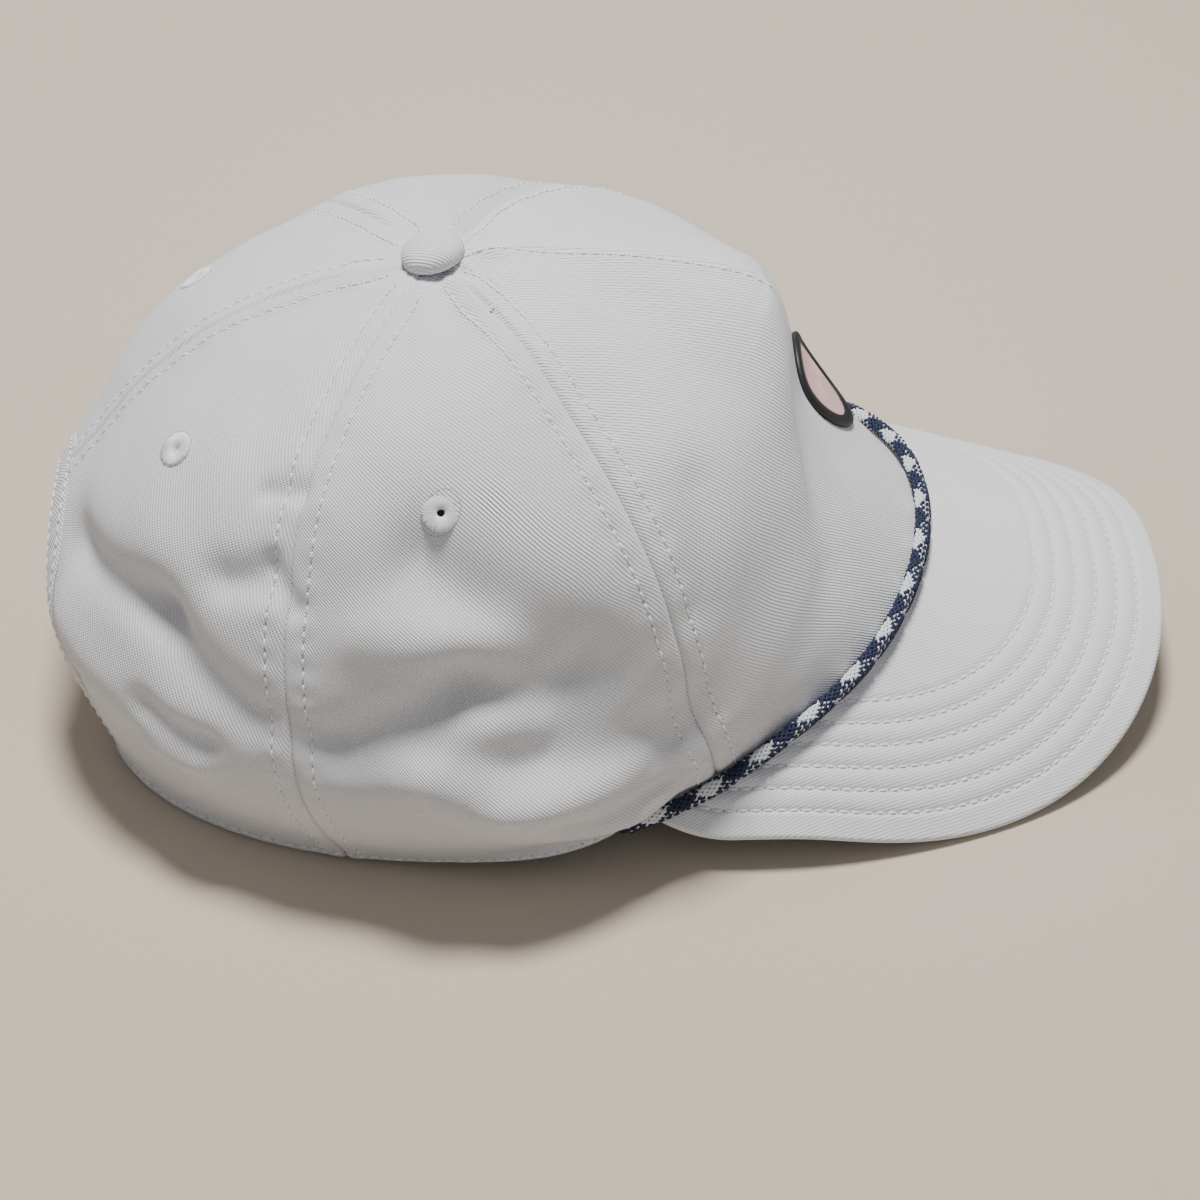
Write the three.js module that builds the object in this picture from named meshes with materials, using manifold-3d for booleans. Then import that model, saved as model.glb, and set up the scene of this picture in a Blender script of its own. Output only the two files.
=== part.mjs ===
// A five-panel snapback cap with a rope sewn along the join of its crown and brim.
// Millimetres, +Z up. The front of the cap is towards -Y and the wearer's right is towards -X.
// Every shape is worked out round the upright axis of the button, with the floor at z = 0. At the end
// the whole cap is shifted so that its origin lies at the middle of its underside.
import * as THREE from "three";
import { mergeVertices } from "three/addons/utils/BufferGeometryUtils.js";
import Module from "manifold-3d";

const wasm = await Module();
wasm.setup();

// Crown
const CROWN_HALF_LENGTH = 101; // mean of the hem's front and back reach from the button's axis
const CROWN_HALF_WIDTH = 84;
const CROWN_HEIGHT = 114.5; // floor to the cloth under the button
const CLOTH = 1.4; // twill with its seam tape
const SEAM_GAP = 0.3; // between neighbouring panels
const FIT_GAP = 0.3; // between pieces that lie against each other
const TOP_HOLE_RADIUS = 2.8; // where the panels meet under the button

// Brim
const BRIM_LENGTH = 62; // from the front of the hem to the tip, on the level
const BRIM_HALF_WIDTH = 85.6;
const BRIM_THICKNESS = 2.4;
const BRIM_ROOT_HEIGHT = 39.7; // of its upper face, at the middle of its root
const BRIM_FALL = 0.29; // drop for each millimetre forward
const BRIM_ROOT_RADIUS = 88; // of the arch across the brim
const BRIM_TIP_RADIUS = 81;
const BRIM_LEVEL_RUN = 32; // how far back of the root the fall goes on
const BRIM_WIDEST_BACK = 50; // from the root back to the widest place
const BRIM_CORNER_RUN = 60; // half axis of the curve from the widest place back to the corner
const BRIM_SQUARENESS = 2.5; // power of the outline: 2 is an ellipse
const BRIM_CORNER_SHARE = 0.15; // share of each half of the outline behind the widest place
const BRIM_CORNER_SEARCH = { inside: 30, outside: 85 }; // degrees between which the corner lies
const BRIM_TUCK = 2.6; // how far the brim reaches in under the crown's wall
const JOIN_GAP = 0.5; // between the crown's wall, the brim below it and the rope

// Back opening, its bound edge and the strap across it
const ARCH_HALF_WIDTH = 36;
const ARCH_HEIGHT = 52;
const BINDING_WIDTH = 8;
const BINDING_PROUD = 0.4; // how far the bound edge stands out of the cloth on each face
const STRAP_HEIGHT = 18;
const STRAP_THICKNESS = 1.3;
const STRAP_LIFT = 1.2; // of the strap's lower edge over the floor
const STRAP_SEWN = 5; // length of each end that lies past the bound edge
const STUD_RADIUS = 2.3;
const STUD_TOP_RADIUS = 1.95;
const STUD_HEIGHT = 1.1;
const STUD_PITCH = 9.5;

// Trim
const BUTTON_RADIUS = 7.4;
const BUTTON_HEIGHT = 4.4;
const BUTTON_PROFILE = [
  { reach: 0.9, rise: 0 }, // shares of the button's radius and height, from its underside to its middle
  { reach: 1, rise: 0.22 },
  { reach: 0.97, rise: 0.48 },
  { reach: 0.8, rise: 0.76 },
  { reach: 0.5, rise: 0.94 },
  { reach: 0, rise: 1 },
];
const SHANK_RADIUS = 1.5;
const SHANK_LENGTH = 3.2;
const EYELET_RADIUS = 4.4;
const EYELET_HOLE_RADIUS = 0.9;
const EYELET_SLEEVE_RADIUS = 2.9;
const EYELET_LIFT = 0.42; // of the ring's underside over the cloth, which is curved there
const EYELET_PROUD = 0.9; // of the ring's crest over the cloth
const EYELET_CREST_OUTER = 3.5; // radii between which the ring has its crest
const EYELET_CREST_INNER = 2;
const EYELET_CUT_LENGTH = 11; // of the cut for the sleeve, which goes right through the wall
const ROPE_RADIUS = 2;
const ROPE_PAST_CORNER = 4; // degrees past the brim's corner, tucked under the hem
const SWEATBAND_THICKNESS = 1;
const SWEATBAND_GAP = 0.9; // to the wall, which leaves room for the facets of both
const SWEATBAND_TOP = 0.2; // share of the way up the crown's profile
const SWEATBAND_BOTTOM = 0.02;
const SWEATBAND_CLEAR = 6; // between the sweatband's end and the strap's end
const BADGE_RADIUS = 15;
const BADGE_THICKNESS = 1.2;
const BADGE_GAP = 0.6; // to the cloth, which leaves room for the facets of both
const BADGE_ANGLE = -12.5; // degrees from the front, towards the wearer's left
const BADGE_LEVEL = 0.19;

// Hem behind the brim's corner: it stays level for a few degrees, then sinks to the floor.
const HEM_HOLD = 2.5; // degrees
const HEM_DOWN_ANGLE = 125; // degrees from the front
const HEM_SINK_POWER = 2.5;
const HEM_TURN = 0.06; // share of the profile over which the wall's inner face turns level

// The crown's profile runs from the hem (0) to the button's axis (1) through these levels.
const LEVELS = [0, 0.22, 0.5, 0.76, 1]; // hem, belly, shoulder, upper, top

// Sections round the crown by their angle from the front, the same on both sides. The reaches from the
// button's axis are shares of the half length and half width.
const SECTION_REACHES = [
  { angle: 0, hem: 1.15, belly: 0.88, shoulder: 0.76, upper: 0.2 },
  { angle: 25, hem: 1.13, belly: 0.98, shoulder: 0.77, upper: 0.25 },
  { angle: 50, hem: 1.07, belly: 1.1, shoulder: 0.9, upper: 0.41 },
  { angle: 80, hem: 1.0, belly: 1.17, shoulder: 1.0, upper: 0.57 },
  { angle: 110, hem: 0.95, belly: 1.12, shoulder: 0.99, upper: 0.65 },
  { angle: 145, hem: 0.93, belly: 1.01, shoulder: 0.89, upper: 0.54 },
  { angle: 180, hem: 0.85, belly: 0.96, shoulder: 0.81, upper: 0.48 },
];

// Heights of the same sections over the floor, as shares of the crown's height
const SECTION_RISES = [
  { angle: 0, belly: 0.59, shoulder: 0.94, upper: 1.03 },
  { angle: 25, belly: 0.55, shoulder: 0.84, upper: 1.02 },
  { angle: 50, belly: 0.36, shoulder: 0.76, upper: 0.99 },
  { angle: 80, belly: 0.26, shoulder: 0.64, upper: 0.93 },
  { angle: 110, belly: 0.28, shoulder: 0.59, upper: 0.88 },
  { angle: 145, belly: 0.28, shoulder: 0.62, upper: 0.85 },
  { angle: 180, belly: 0.33, shoulder: 0.6, upper: 0.88 },
];

// Seams between the front and side panels and between the side and back panels: angles from the front
// at the hem and at the top, and how far the seam bows backwards halfway, in degrees.
const FRONT_SEAM = { hem: 50, top: 56, bow: 3.4 };
const BACK_SEAM = { hem: 107, top: 120, bow: 0.2 };

// Folds of the cloth. Each runs from one place on the crown to another, given by the angle from the
// front and the level. The width and the height are shares of the crown's height, and a valley's
// height is negative. Positive angles are on the wearer's right.
const FOLDS = [
  { angle: 93, level: 0.61, toAngle: 70, toLevel: 0.43, width: 0.075, height: -0.03 },
  { angle: 105, level: 0.34, toAngle: 87, toLevel: 0.43, width: 0.07, height: -0.03 },
  { angle: 87, level: 0.43, toAngle: 66, toLevel: 0.38, width: 0.07, height: -0.03 },
  { angle: 74, level: 0.34, toAngle: 60, toLevel: 0.25, width: 0.1, height: -0.035 },
  { angle: 92, level: 0.3, toAngle: 64, toLevel: 0.13, width: 0.085, height: 0.03 },
  { angle: 101, level: 0.52, toAngle: 82, toLevel: 0.49, width: 0.07, height: 0.02 },
  { angle: 160, level: 0.4, toAngle: 137, toLevel: 0.44, width: 0.07, height: -0.028 },
  { angle: 137, level: 0.44, toAngle: 118, toLevel: 0.36, width: 0.07, height: -0.028 },
  { angle: 156, level: 0.27, toAngle: 131, toLevel: 0.27, width: 0.09, height: 0.025 },
  { angle: 121, level: 0.57, toAngle: 126, toLevel: 0.55, width: 0.05, height: -0.02 },
  { angle: -4, level: 0.46, toAngle: 24, toLevel: 0.16, width: 0.08, height: -0.014 },
  { angle: -62, level: 0.28, toAngle: -92, toLevel: 0.4, width: 0.09, height: -0.026 },
  { angle: -70, level: 0.16, toAngle: -98, toLevel: 0.24, width: 0.085, height: 0.022 },
  { angle: -118, level: 0.34, toAngle: -152, toLevel: 0.42, width: 0.08, height: -0.026 },
  { angle: -128, level: 0.24, toAngle: -156, toLevel: 0.26, width: 0.08, height: 0.02 },
];
const PROFILE_SHARE = 1.5; // length of the profile from hem to top, as a share of the height
const FOLD_HEM_FADE = 0.1; // the folds die out over this share of the profile above the hem

const EYELETS = [
  { name: "eyelet_side_right", angle: 89, level: 0.66 },
  { name: "eyelet_side_left", angle: -89, level: 0.66 },
  { name: "eyelet_back_right", angle: 150, level: 0.65 },
  { name: "eyelet_back_left", angle: -150, level: 0.65 },
];

// Fineness of the facets
const PANEL_ROWS = 18;
const PANEL_CELL = 5.6; // degrees
const BRIM_COLUMNS = 36;
const BRIM_ROWS = 7;
const ROPE_STEPS = 56;
const ROPE_SIDES = 8;
const BAND_COLUMNS = 54;
const BAND_ROWS = 4;
const ARCH_COLUMNS = 26;
const BINDING_ROWS = 2;
const STRAP_COLUMNS = 16;
const STRAP_ROWS = 3;
const ROUND_SIDES = 12;
const BUTTON_SIDES = 24;
const BADGE_CELLS = 6;

// How finely a place is searched for
const SEARCH_STEPS = 30; // halvings of the stretch that holds it
const ANGLE_STEPS = 8;
const SEAT_SHARES = [0.5, 0.75, 1]; // of the button's radius, where its seat is tried

const radians = THREE.MathUtils.degToRad;
const degrees = THREE.MathUtils.radToDeg;
const lerp = THREE.MathUtils.lerp;
const smoothstep = THREE.MathUtils.smoothstep;

// The value at a place on the smooth curve through the knots. The end slopes follow the curve's own
// bend unless the last slope is given.
function curveAt(knots, values, at, lastSlope) {
  const last = knots.length - 1;
  const rise = (i) => (values[i + 1] - values[i]) / (knots[i + 1] - knots[i]);
  const inner = (i) => (values[i + 1] - values[i - 1]) / (knots[i + 1] - knots[i - 1]);
  const slope = (i) => {
    if (i === 0) return 1.5 * rise(0) - 0.5 * inner(1);
    if (i === last) return lastSlope ?? 1.5 * rise(last - 1) - 0.5 * inner(last - 1);
    return inner(i);
  };
  let i = 0;
  while (i < last - 1 && at >= knots[i + 1]) i += 1;
  const step = knots[i + 1] - knots[i];
  const t = (at - knots[i]) / step;
  const keep = (1 + 2 * t) * (1 - t) ** 2;
  return (
    keep * values[i] +
    (1 - keep) * values[i + 1] +
    t * (1 - t) ** 2 * step * slope(i) -
    t * t * (1 - t) * step * slope(i + 1)
  );
}

// The angle from the front without its side: 0 at the front, 180 at the back.
function turnFromFront(angle) {
  const turn = THREE.MathUtils.euclideanModulo(angle, 360);
  return Math.min(turn, 360 - turn);
}

// A column of a table of sections as a smooth function of the angle. The sections are repeated
// mirrored past the front and the back, so that the curve is smooth there.
function roundCurve(table, column) {
  const knots = (rows, flip) => rows.map((row) => ({ angle: flip(row.angle), value: row[column] }));
  const round = [
    ...knots([table[2], table[1]], (angle) => -angle),
    ...knots(table, (angle) => angle),
    ...knots([table.at(-2), table.at(-3)], (angle) => 360 - angle),
  ];
  const angles = round.map((knot) => knot.angle);
  const values = round.map((knot) => knot.value);
  return (angle) => curveAt(angles, values, turnFromFront(angle));
}

const reachShares = ["hem", "belly", "shoulder", "upper"].map((name) => roundCurve(SECTION_REACHES, name));
const riseShares = ["belly", "shoulder", "upper"].map((name) => roundCurve(SECTION_RISES, name));

// The named size that a reach is a share of, in the direction of the angle.
function reachUnit(angle) {
  const forward = Math.cos(radians(angle)) ** 2;
  return CROWN_HALF_LENGTH * forward + CROWN_HALF_WIDTH * (1 - forward);
}

function onPlan(angle, reach) {
  return new THREE.Vector2(-reach * Math.sin(radians(angle)), -reach * Math.cos(radians(angle)));
}

function hemPlan(angle) {
  const [hemShare] = reachShares;
  return onPlan(angle, hemShare(angle) * reachUnit(angle));
}

// Brim: its upper face arches across and falls towards the tip.
const BRIM_ROOT_Y = hemPlan(0).y;
const BRIM_WIDEST_Y = BRIM_ROOT_Y + BRIM_WIDEST_BACK;
const BRIM_TIP_Y = BRIM_ROOT_Y - BRIM_LENGTH;

function brimTop(x, y) {
  const forward = Math.max(BRIM_ROOT_Y - y, -BRIM_LEVEL_RUN);
  const bend = lerp(1 / BRIM_ROOT_RADIUS, 1 / BRIM_TIP_RADIUS, forward / BRIM_LENGTH);
  return BRIM_ROOT_HEIGHT - BRIM_FALL * forward - (bend * x * x) / 2;
}

// The brim's corner is where the hem crosses the curve that runs back from the widest place.
function findCornerAngle() {
  let { inside, outside } = BRIM_CORNER_SEARCH;
  for (let i = 0; i < SEARCH_STEPS; i += 1) {
    const angle = (inside + outside) / 2;
    const place = hemPlan(angle);
    const back = Math.max(place.y - BRIM_WIDEST_Y, 0) / BRIM_CORNER_RUN;
    const isInside = (place.x / BRIM_HALF_WIDTH) ** 2 + back ** 2 < 1;
    if (isInside) inside = angle;
    else outside = angle;
  }
  return inside;
}
const CORNER_ANGLE = findCornerAngle();

// Height of the hem's lower edge: on the brim at the front, on the floor at the back.
function hemHeight(angle, x, y) {
  const onBrim = brimTop(x, y) + JOIN_GAP;
  const start = CORNER_ANGLE + HEM_HOLD;
  const left = (HEM_DOWN_ANGLE - turnFromFront(angle)) / (HEM_DOWN_ANGLE - start);
  return onBrim * THREE.MathUtils.clamp(left, 0, 1) ** HEM_SINK_POWER;
}

// Crown: the smooth surface before its folds.
function crownReach(angle, level) {
  const unit = reachUnit(angle);
  const reaches = reachShares.map((share) => share(angle) * unit);
  return curveAt(LEVELS, [...reaches, 0], level);
}

function crownRise(angle, level) {
  const hem = hemPlan(angle);
  const rises = riseShares.map((share) => share(angle) * CROWN_HEIGHT);
  const flatTop = 0;
  return curveAt(LEVELS, [hemHeight(angle, hem.x, hem.y), ...rises, CROWN_HEIGHT], level, flatTop);
}

function crownPoint(angle, level) {
  const plan = onPlan(angle, crownReach(angle, level));
  return new THREE.Vector3(plan.x, plan.y, crownRise(angle, level));
}

function crownNormal(angle, level) {
  const turn = 0.5;
  const climb = 0.004;
  const low = Math.max(level - climb, 0);
  const high = Math.min(level + climb, 1 - climb);
  const across = crownPoint(angle + turn, level).sub(crownPoint(angle - turn, level));
  const up = crownPoint(angle, high).sub(crownPoint(angle, low));
  return up.cross(across).normalize();
}

// How far the folds push the cloth out at a place: each is a soft ridge along its line.
function foldHeight(angle, level) {
  const perDegree = radians(1) * CROWN_HALF_WIDTH;
  const perLevel = PROFILE_SHARE * CROWN_HEIGHT;
  let height = 0;
  for (const fold of FOLDS) {
    const turn = THREE.MathUtils.euclideanModulo(angle - fold.angle + 180, 360) - 180;
    const place = new THREE.Vector2(turn * perDegree, (level - fold.level) * perLevel);
    const line = new THREE.Vector2(
      (fold.toAngle - fold.angle) * perDegree,
      (fold.toLevel - fold.level) * perLevel,
    );
    const along = THREE.MathUtils.clamp(place.dot(line) / line.lengthSq(), 0, 1);
    const away = place.distanceTo(line.multiplyScalar(along)) / (fold.width * CROWN_HEIGHT);
    height += fold.height * CROWN_HEIGHT * Math.exp(-away * away);
  }
  return height * smoothstep(level, 0, FOLD_HEM_FADE);
}

// A point of the crown's wall at a depth below its outer face. At the hem the wall's inner face keeps
// the height of the hem's lower edge, so that the hem is cut level.
function wallPoint(angle, level, depth) {
  const outer = crownPoint(angle, level);
  const normal = crownNormal(angle, level);
  const point = outer.clone().addScaledVector(normal, foldHeight(angle, level) - depth);
  const hem = hemPlan(angle);
  const inset = hem.clone().addScaledVector(new THREE.Vector2(normal.x, normal.y), -depth);
  const innerEdge = hemHeight(angle, inset.x, inset.y) - hemHeight(angle, hem.x, hem.y);
  const free = smoothstep(level, 0, HEM_TURN);
  point.z = lerp(outer.z + innerEdge, point.z, free);
  return point;
}

// The level at which the crown has the given reach, near its top.
function levelAtReach(angle, reach) {
  let low = LEVELS[3];
  let high = 1;
  for (let i = 0; i < SEARCH_STEPS; i += 1) {
    const level = (low + high) / 2;
    if (crownReach(angle, level) > reach) low = level;
    else high = level;
  }
  return (low + high) / 2;
}

function seamAngle(seam, level) {
  return lerp(seam.hem, seam.top, level) + seam.bow * 4 * level * (1 - level);
}

// A geometry with its faces outwards from shared points and quads.
function closedGeometry(points, index) {
  const position = new Float32Array(points.flatMap((point) => point.toArray()));
  let volume = 0;
  for (let i = 0; i < index.length; i += 3) {
    const [a, b, c] = [index[i], index[i + 1], index[i + 2]].map((n) => points[n]);
    volume += a.dot(b.clone().cross(c));
  }
  const faces = volume > 0 ? index : [...index].reverse();
  const geometry = new THREE.BufferGeometry();
  geometry.setAttribute("position", new THREE.BufferAttribute(position, 3));
  geometry.setIndex(faces);
  return geometry;
}

// A closed sheet with two faces and a narrow wall round them. pointAt(u, v, side) gives the points,
// with side 0 on the outer face and side 1 on the inner face.
function sheet(columns, rows, pointAt) {
  const points = [];
  for (const side of [0, 1])
    for (let j = 0; j <= rows; j += 1)
      for (let i = 0; i <= columns; i += 1) points.push(pointAt(i / columns, j / rows, side));
  const at = (side, i, j) => (side * (rows + 1) + j) * (columns + 1) + i;
  const index = [];
  const quad = (a, b, c, d) => index.push(a, b, c, a, c, d);
  for (let j = 0; j < rows; j += 1)
    for (let i = 0; i < columns; i += 1) {
      quad(at(0, i, j), at(0, i + 1, j), at(0, i + 1, j + 1), at(0, i, j + 1));
      quad(at(1, i, j), at(1, i, j + 1), at(1, i + 1, j + 1), at(1, i + 1, j));
    }
  for (let i = 0; i < columns; i += 1) {
    quad(at(0, i, 0), at(1, i, 0), at(1, i + 1, 0), at(0, i + 1, 0));
    quad(at(0, i, rows), at(0, i + 1, rows), at(1, i + 1, rows), at(1, i, rows));
  }
  for (let j = 0; j < rows; j += 1) {
    quad(at(0, 0, j), at(0, 0, j + 1), at(1, 0, j + 1), at(1, 0, j));
    quad(at(0, columns, j), at(1, columns, j), at(1, columns, j + 1), at(0, columns, j + 1));
  }
  return closedGeometry(points, index);
}

// The bare shape with its shared points merged, as the boolean cuts and the closed pieces need it.
function mergedCopy(geometry) {
  const copy = geometry.clone();
  copy.deleteAttribute("normal");
  copy.deleteAttribute("uv");
  return mergeVertices(copy, 1e-4);
}

function solidOf(geometry) {
  const merged = mergedCopy(geometry);
  const made = new wasm.Mesh({
    numProp: 3,
    vertProperties: merged.attributes.position.array,
    triVerts: new Uint32Array(merged.index.array),
  });
  return new wasm.Manifold(made);
}

function geometryOf(solid) {
  const mesh = solid.getMesh();
  const geometry = new THREE.BufferGeometry();
  geometry.setAttribute("position", new THREE.BufferAttribute(new Float32Array(mesh.vertProperties), 3));
  geometry.setIndex(new THREE.BufferAttribute(new Uint32Array(mesh.triVerts), 1));
  return geometry;
}

// Materials
function finish(color, roughness, metalness = 0) {
  return new THREE.MeshStandardMaterial({ color, roughness, metalness, flatShading: true });
}
const WHITE_TWILL = () => finish(0xe4e5e8, 0.9);
const WHITE_BAND = () => finish(0xdcdcdc, 0.9);
const WHITE_PLASTIC = () => finish(0xe6e6e4, 0.45);
const WHITE_THREAD = () => finish(0xe0e1e3, 0.7);
const NAVY_ROPE = () => finish(0x1d2c55, 0.8);
const PINK_TWILL = () => finish(0xe6bfc0, 0.8);

const cap = new THREE.Group();
function addPiece(name, geometry, material) {
  const mesh = new THREE.Mesh(geometry, material);
  mesh.name = name;
  cap.add(mesh);
}

// Panels of the crown
const frontSeam = (level) => seamAngle(FRONT_SEAM, level);
const backSeam = (level) => seamAngle(BACK_SEAM, level);
const PANELS = [
  { name: "front_panel", from: (level) => -frontSeam(level), to: frontSeam },
  { name: "side_panel_right", from: frontSeam, to: backSeam },
  { name: "side_panel_left", from: (level) => -backSeam(level), to: (level) => -frontSeam(level) },
  { name: "back_panel_right", from: backSeam, to: () => 180 },
  { name: "back_panel_left", from: () => 180, to: (level) => 360 - backSeam(level) },
];

function panelGeometry(panel) {
  const columns = Math.ceil((panel.to(0) - panel.from(0)) / PANEL_CELL);
  return sheet(columns, PANEL_ROWS, (u, v, side) => {
    const topAngle = lerp(panel.from(1), panel.to(1), u);
    const level = v * levelAtReach(topAngle, TOP_HOLE_RADIUS);
    const inset = degrees(SEAM_GAP / 2 / crownReach(topAngle, level));
    const angle = lerp(panel.from(level) + inset, panel.to(level) - inset, u);
    return wallPoint(angle, level, side * CLOTH);
  });
}

// The back opening as a half ellipse on a short straight foot, cut through the back panels.
function archCutter(halfWidth, height) {
  const foot = ARCH_HEIGHT;
  const outline = new THREE.Shape();
  outline.moveTo(-halfWidth, -foot);
  outline.lineTo(halfWidth, -foot);
  outline.lineTo(halfWidth, 0);
  outline.absellipse(0, 0, halfWidth, height, 0, Math.PI, false);
  outline.closePath();
  const depth = 2 * CROWN_HALF_LENGTH; // past the back of the crown
  const settings = { depth, bevelEnabled: false, curveSegments: ARCH_COLUMNS };
  const cutter = new THREE.ExtrudeGeometry(outline, settings);
  cutter.rotateX(Math.PI / 2);
  cutter.translate(0, depth, 0);
  return solidOf(cutter);
}

// Moves a piece that was made round its own +Z axis to a place on the crown, with +Z outwards.
function seatOnCrown(geometry, angle, level) {
  const outwards = crownNormal(angle, level);
  const turn = new THREE.Quaternion().setFromUnitVectors(new THREE.Vector3(0, 0, 1), outwards);
  geometry.applyQuaternion(turn);
  const seat = wallPoint(angle, level, 0);
  geometry.translate(seat.x, seat.y, seat.z);
  return geometry;
}

function eyeletCutter(eyelet) {
  const radius = EYELET_SLEEVE_RADIUS + FIT_GAP;
  const cutter = new THREE.CylinderGeometry(radius, radius, EYELET_CUT_LENGTH, ROUND_SIDES);
  cutter.rotateX(Math.PI / 2);
  return solidOf(seatOnCrown(cutter, eyelet.angle, eyelet.level));
}

const bindingOuter = BINDING_WIDTH + FIT_GAP;
const archHole = archCutter(ARCH_HALF_WIDTH + bindingOuter, ARCH_HEIGHT + bindingOuter);
for (const panel of PANELS) {
  let solid = solidOf(panelGeometry(panel));
  if (panel.name.startsWith("back")) solid = solid.subtract(archHole);
  for (const eyelet of EYELETS) {
    const piece = eyelet.name.replace("eyelet_", "").replace("_", "_panel_");
    if (panel.name === piece) solid = solid.subtract(eyeletCutter(eyelet));
  }
  addPiece(panel.name, geometryOf(solid), WHITE_TWILL());
}

// Bound edge of the back opening. A point of it keeps its place across and up at every depth, so that
// its edge stays parallel to the cut in the panels.
function backWallPoint(x, z, depth) {
  let low = 0;
  let high = LEVELS[3];
  let point;
  for (let i = 0; i < SEARCH_STEPS; i += 1) {
    const level = (low + high) / 2;
    let angle = 180;
    for (let k = 0; k < ANGLE_STEPS; k += 1) {
      point = wallPoint(angle, level, depth);
      const reach = Math.hypot(point.x, point.y);
      const wanted = 180 + degrees(Math.asin(THREE.MathUtils.clamp(x / reach, -1, 1)));
      angle += wanted - (180 + degrees(Math.asin(point.x / reach)));
    }
    if (point.z < z) low = level;
    else high = level;
  }
  return point.setX(x).setZ(z);
}

const binding = sheet(ARCH_COLUMNS, BINDING_ROWS, (u, v, side) => {
  const x = (ARCH_HALF_WIDTH + BINDING_WIDTH * v) * -Math.cos(Math.PI * u);
  const z = (ARCH_HEIGHT + BINDING_WIDTH * v) * Math.sin(Math.PI * u);
  const depth = side ? CLOTH + BINDING_PROUD : -BINDING_PROUD;
  return backWallPoint(x, z, depth);
});
addPiece("arch_binding", binding, WHITE_TWILL());

// Strap across the back opening, a plain fastened band with a row of studs
const strapDepth = CLOTH + BINDING_PROUD + FIT_GAP;
const strapReach = ARCH_HALF_WIDTH + BINDING_WIDTH + STRAP_SEWN;
const strapTurn = degrees(Math.asin(strapReach / CROWN_HALF_LENGTH));
const strapHalfAngle = degrees(Math.asin(strapReach / crownReach(180 - strapTurn, 0)));

function levelAtHeight(angle, height) {
  let low = 0;
  let high = LEVELS[2];
  for (let i = 0; i < SEARCH_STEPS; i += 1) {
    const level = (low + high) / 2;
    if (crownRise(angle, level) < height) low = level;
    else high = level;
  }
  return low;
}

const strapBand = sheet(STRAP_COLUMNS, STRAP_ROWS, (u, v, side) => {
  const angle = 180 + strapHalfAngle * (2 * u - 1);
  const level = levelAtHeight(angle, STRAP_LIFT + STRAP_HEIGHT * v);
  return wallPoint(angle, level, strapDepth + side * STRAP_THICKNESS);
});
let strap = solidOf(strapBand);
const studsEachSide = Math.floor((ARCH_HALF_WIDTH - STUD_PITCH / 2) / STUD_PITCH);
for (let i = -studsEachSide; i <= studsEachSide; i += 1) {
  const angle = 180 + degrees((i * STUD_PITCH) / crownReach(180, 0));
  const level = levelAtHeight(angle, STRAP_LIFT + STRAP_HEIGHT / 2);
  const length = STUD_HEIGHT + STRAP_THICKNESS;
  const stud = new THREE.CylinderGeometry(STUD_TOP_RADIUS, STUD_RADIUS, length, ROUND_SIDES);
  stud.rotateX(Math.PI / 2);
  stud.translate(0, 0, (STUD_HEIGHT - STRAP_THICKNESS) / 2 - strapDepth);
  strap = strap.add(solidOf(seatOnCrown(stud, angle, level)));
}
addPiece("snap_strap", geometryOf(strap), WHITE_PLASTIC());

// Sweatband inside the hem, from one end of the strap round the front to the other
const bandEnd = 180 - strapHalfAngle - degrees(SWEATBAND_CLEAR / crownReach(180 - strapHalfAngle, 0));
const sweatband = sheet(BAND_COLUMNS, BAND_ROWS, (u, v, side) => {
  const level = lerp(SWEATBAND_BOTTOM, SWEATBAND_TOP, v);
  const depth = CLOTH + SWEATBAND_GAP + side * SWEATBAND_THICKNESS;
  return wallPoint(bandEnd * (2 * u - 1), level, depth);
});
addPiece("sweatband", sweatband, WHITE_BAND());

// Brim: the inner edge is tucked under the crown's wall, and the outer edge follows the outline.
const cornerTurn = Math.asin((hemPlan(CORNER_ANGLE).y - BRIM_WIDEST_Y) / BRIM_CORNER_RUN);

function brimOutline(along) {
  const side = Math.sign(along);
  const share = Math.abs(along) / (1 - BRIM_CORNER_SHARE);
  if (share <= 1) {
    const turn = (share * Math.PI) / 2;
    const power = 2 / BRIM_SQUARENESS;
    const x = BRIM_HALF_WIDTH * Math.sin(turn) ** power;
    const y = lerp(BRIM_WIDEST_Y, BRIM_TIP_Y, Math.max(Math.cos(turn), 0) ** power);
    return new THREE.Vector2(side * x, y);
  }
  const turn = ((Math.abs(along) - 1 + BRIM_CORNER_SHARE) / BRIM_CORNER_SHARE) * cornerTurn;
  return new THREE.Vector2(
    side * BRIM_HALF_WIDTH * Math.cos(turn),
    BRIM_WIDEST_Y + BRIM_CORNER_RUN * Math.sin(turn),
  );
}

function brimPoint(x, y, depth) {
  const step = 0.5;
  const acrossRise = brimTop(x + step, y) - brimTop(x - step, y);
  const foreRise = brimTop(x, y + step) - brimTop(x, y - step);
  const normal = new THREE.Vector3(-acrossRise, -foreRise, 2 * step).normalize();
  return new THREE.Vector3(x, y, brimTop(x, y)).addScaledVector(normal, -depth);
}

const brim = sheet(BRIM_COLUMNS, BRIM_ROWS, (u, v, side) => {
  const along = 2 * u - 1;
  const hem = hemPlan(-along * CORNER_ANGLE);
  const inner = hem.clone().setLength(hem.length() - BRIM_TUCK);
  const place = inner.lerp(brimOutline(along), v);
  return brimPoint(place.x, place.y, side * BRIM_THICKNESS);
});
addPiece("brim", brim, WHITE_TWILL());

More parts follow.
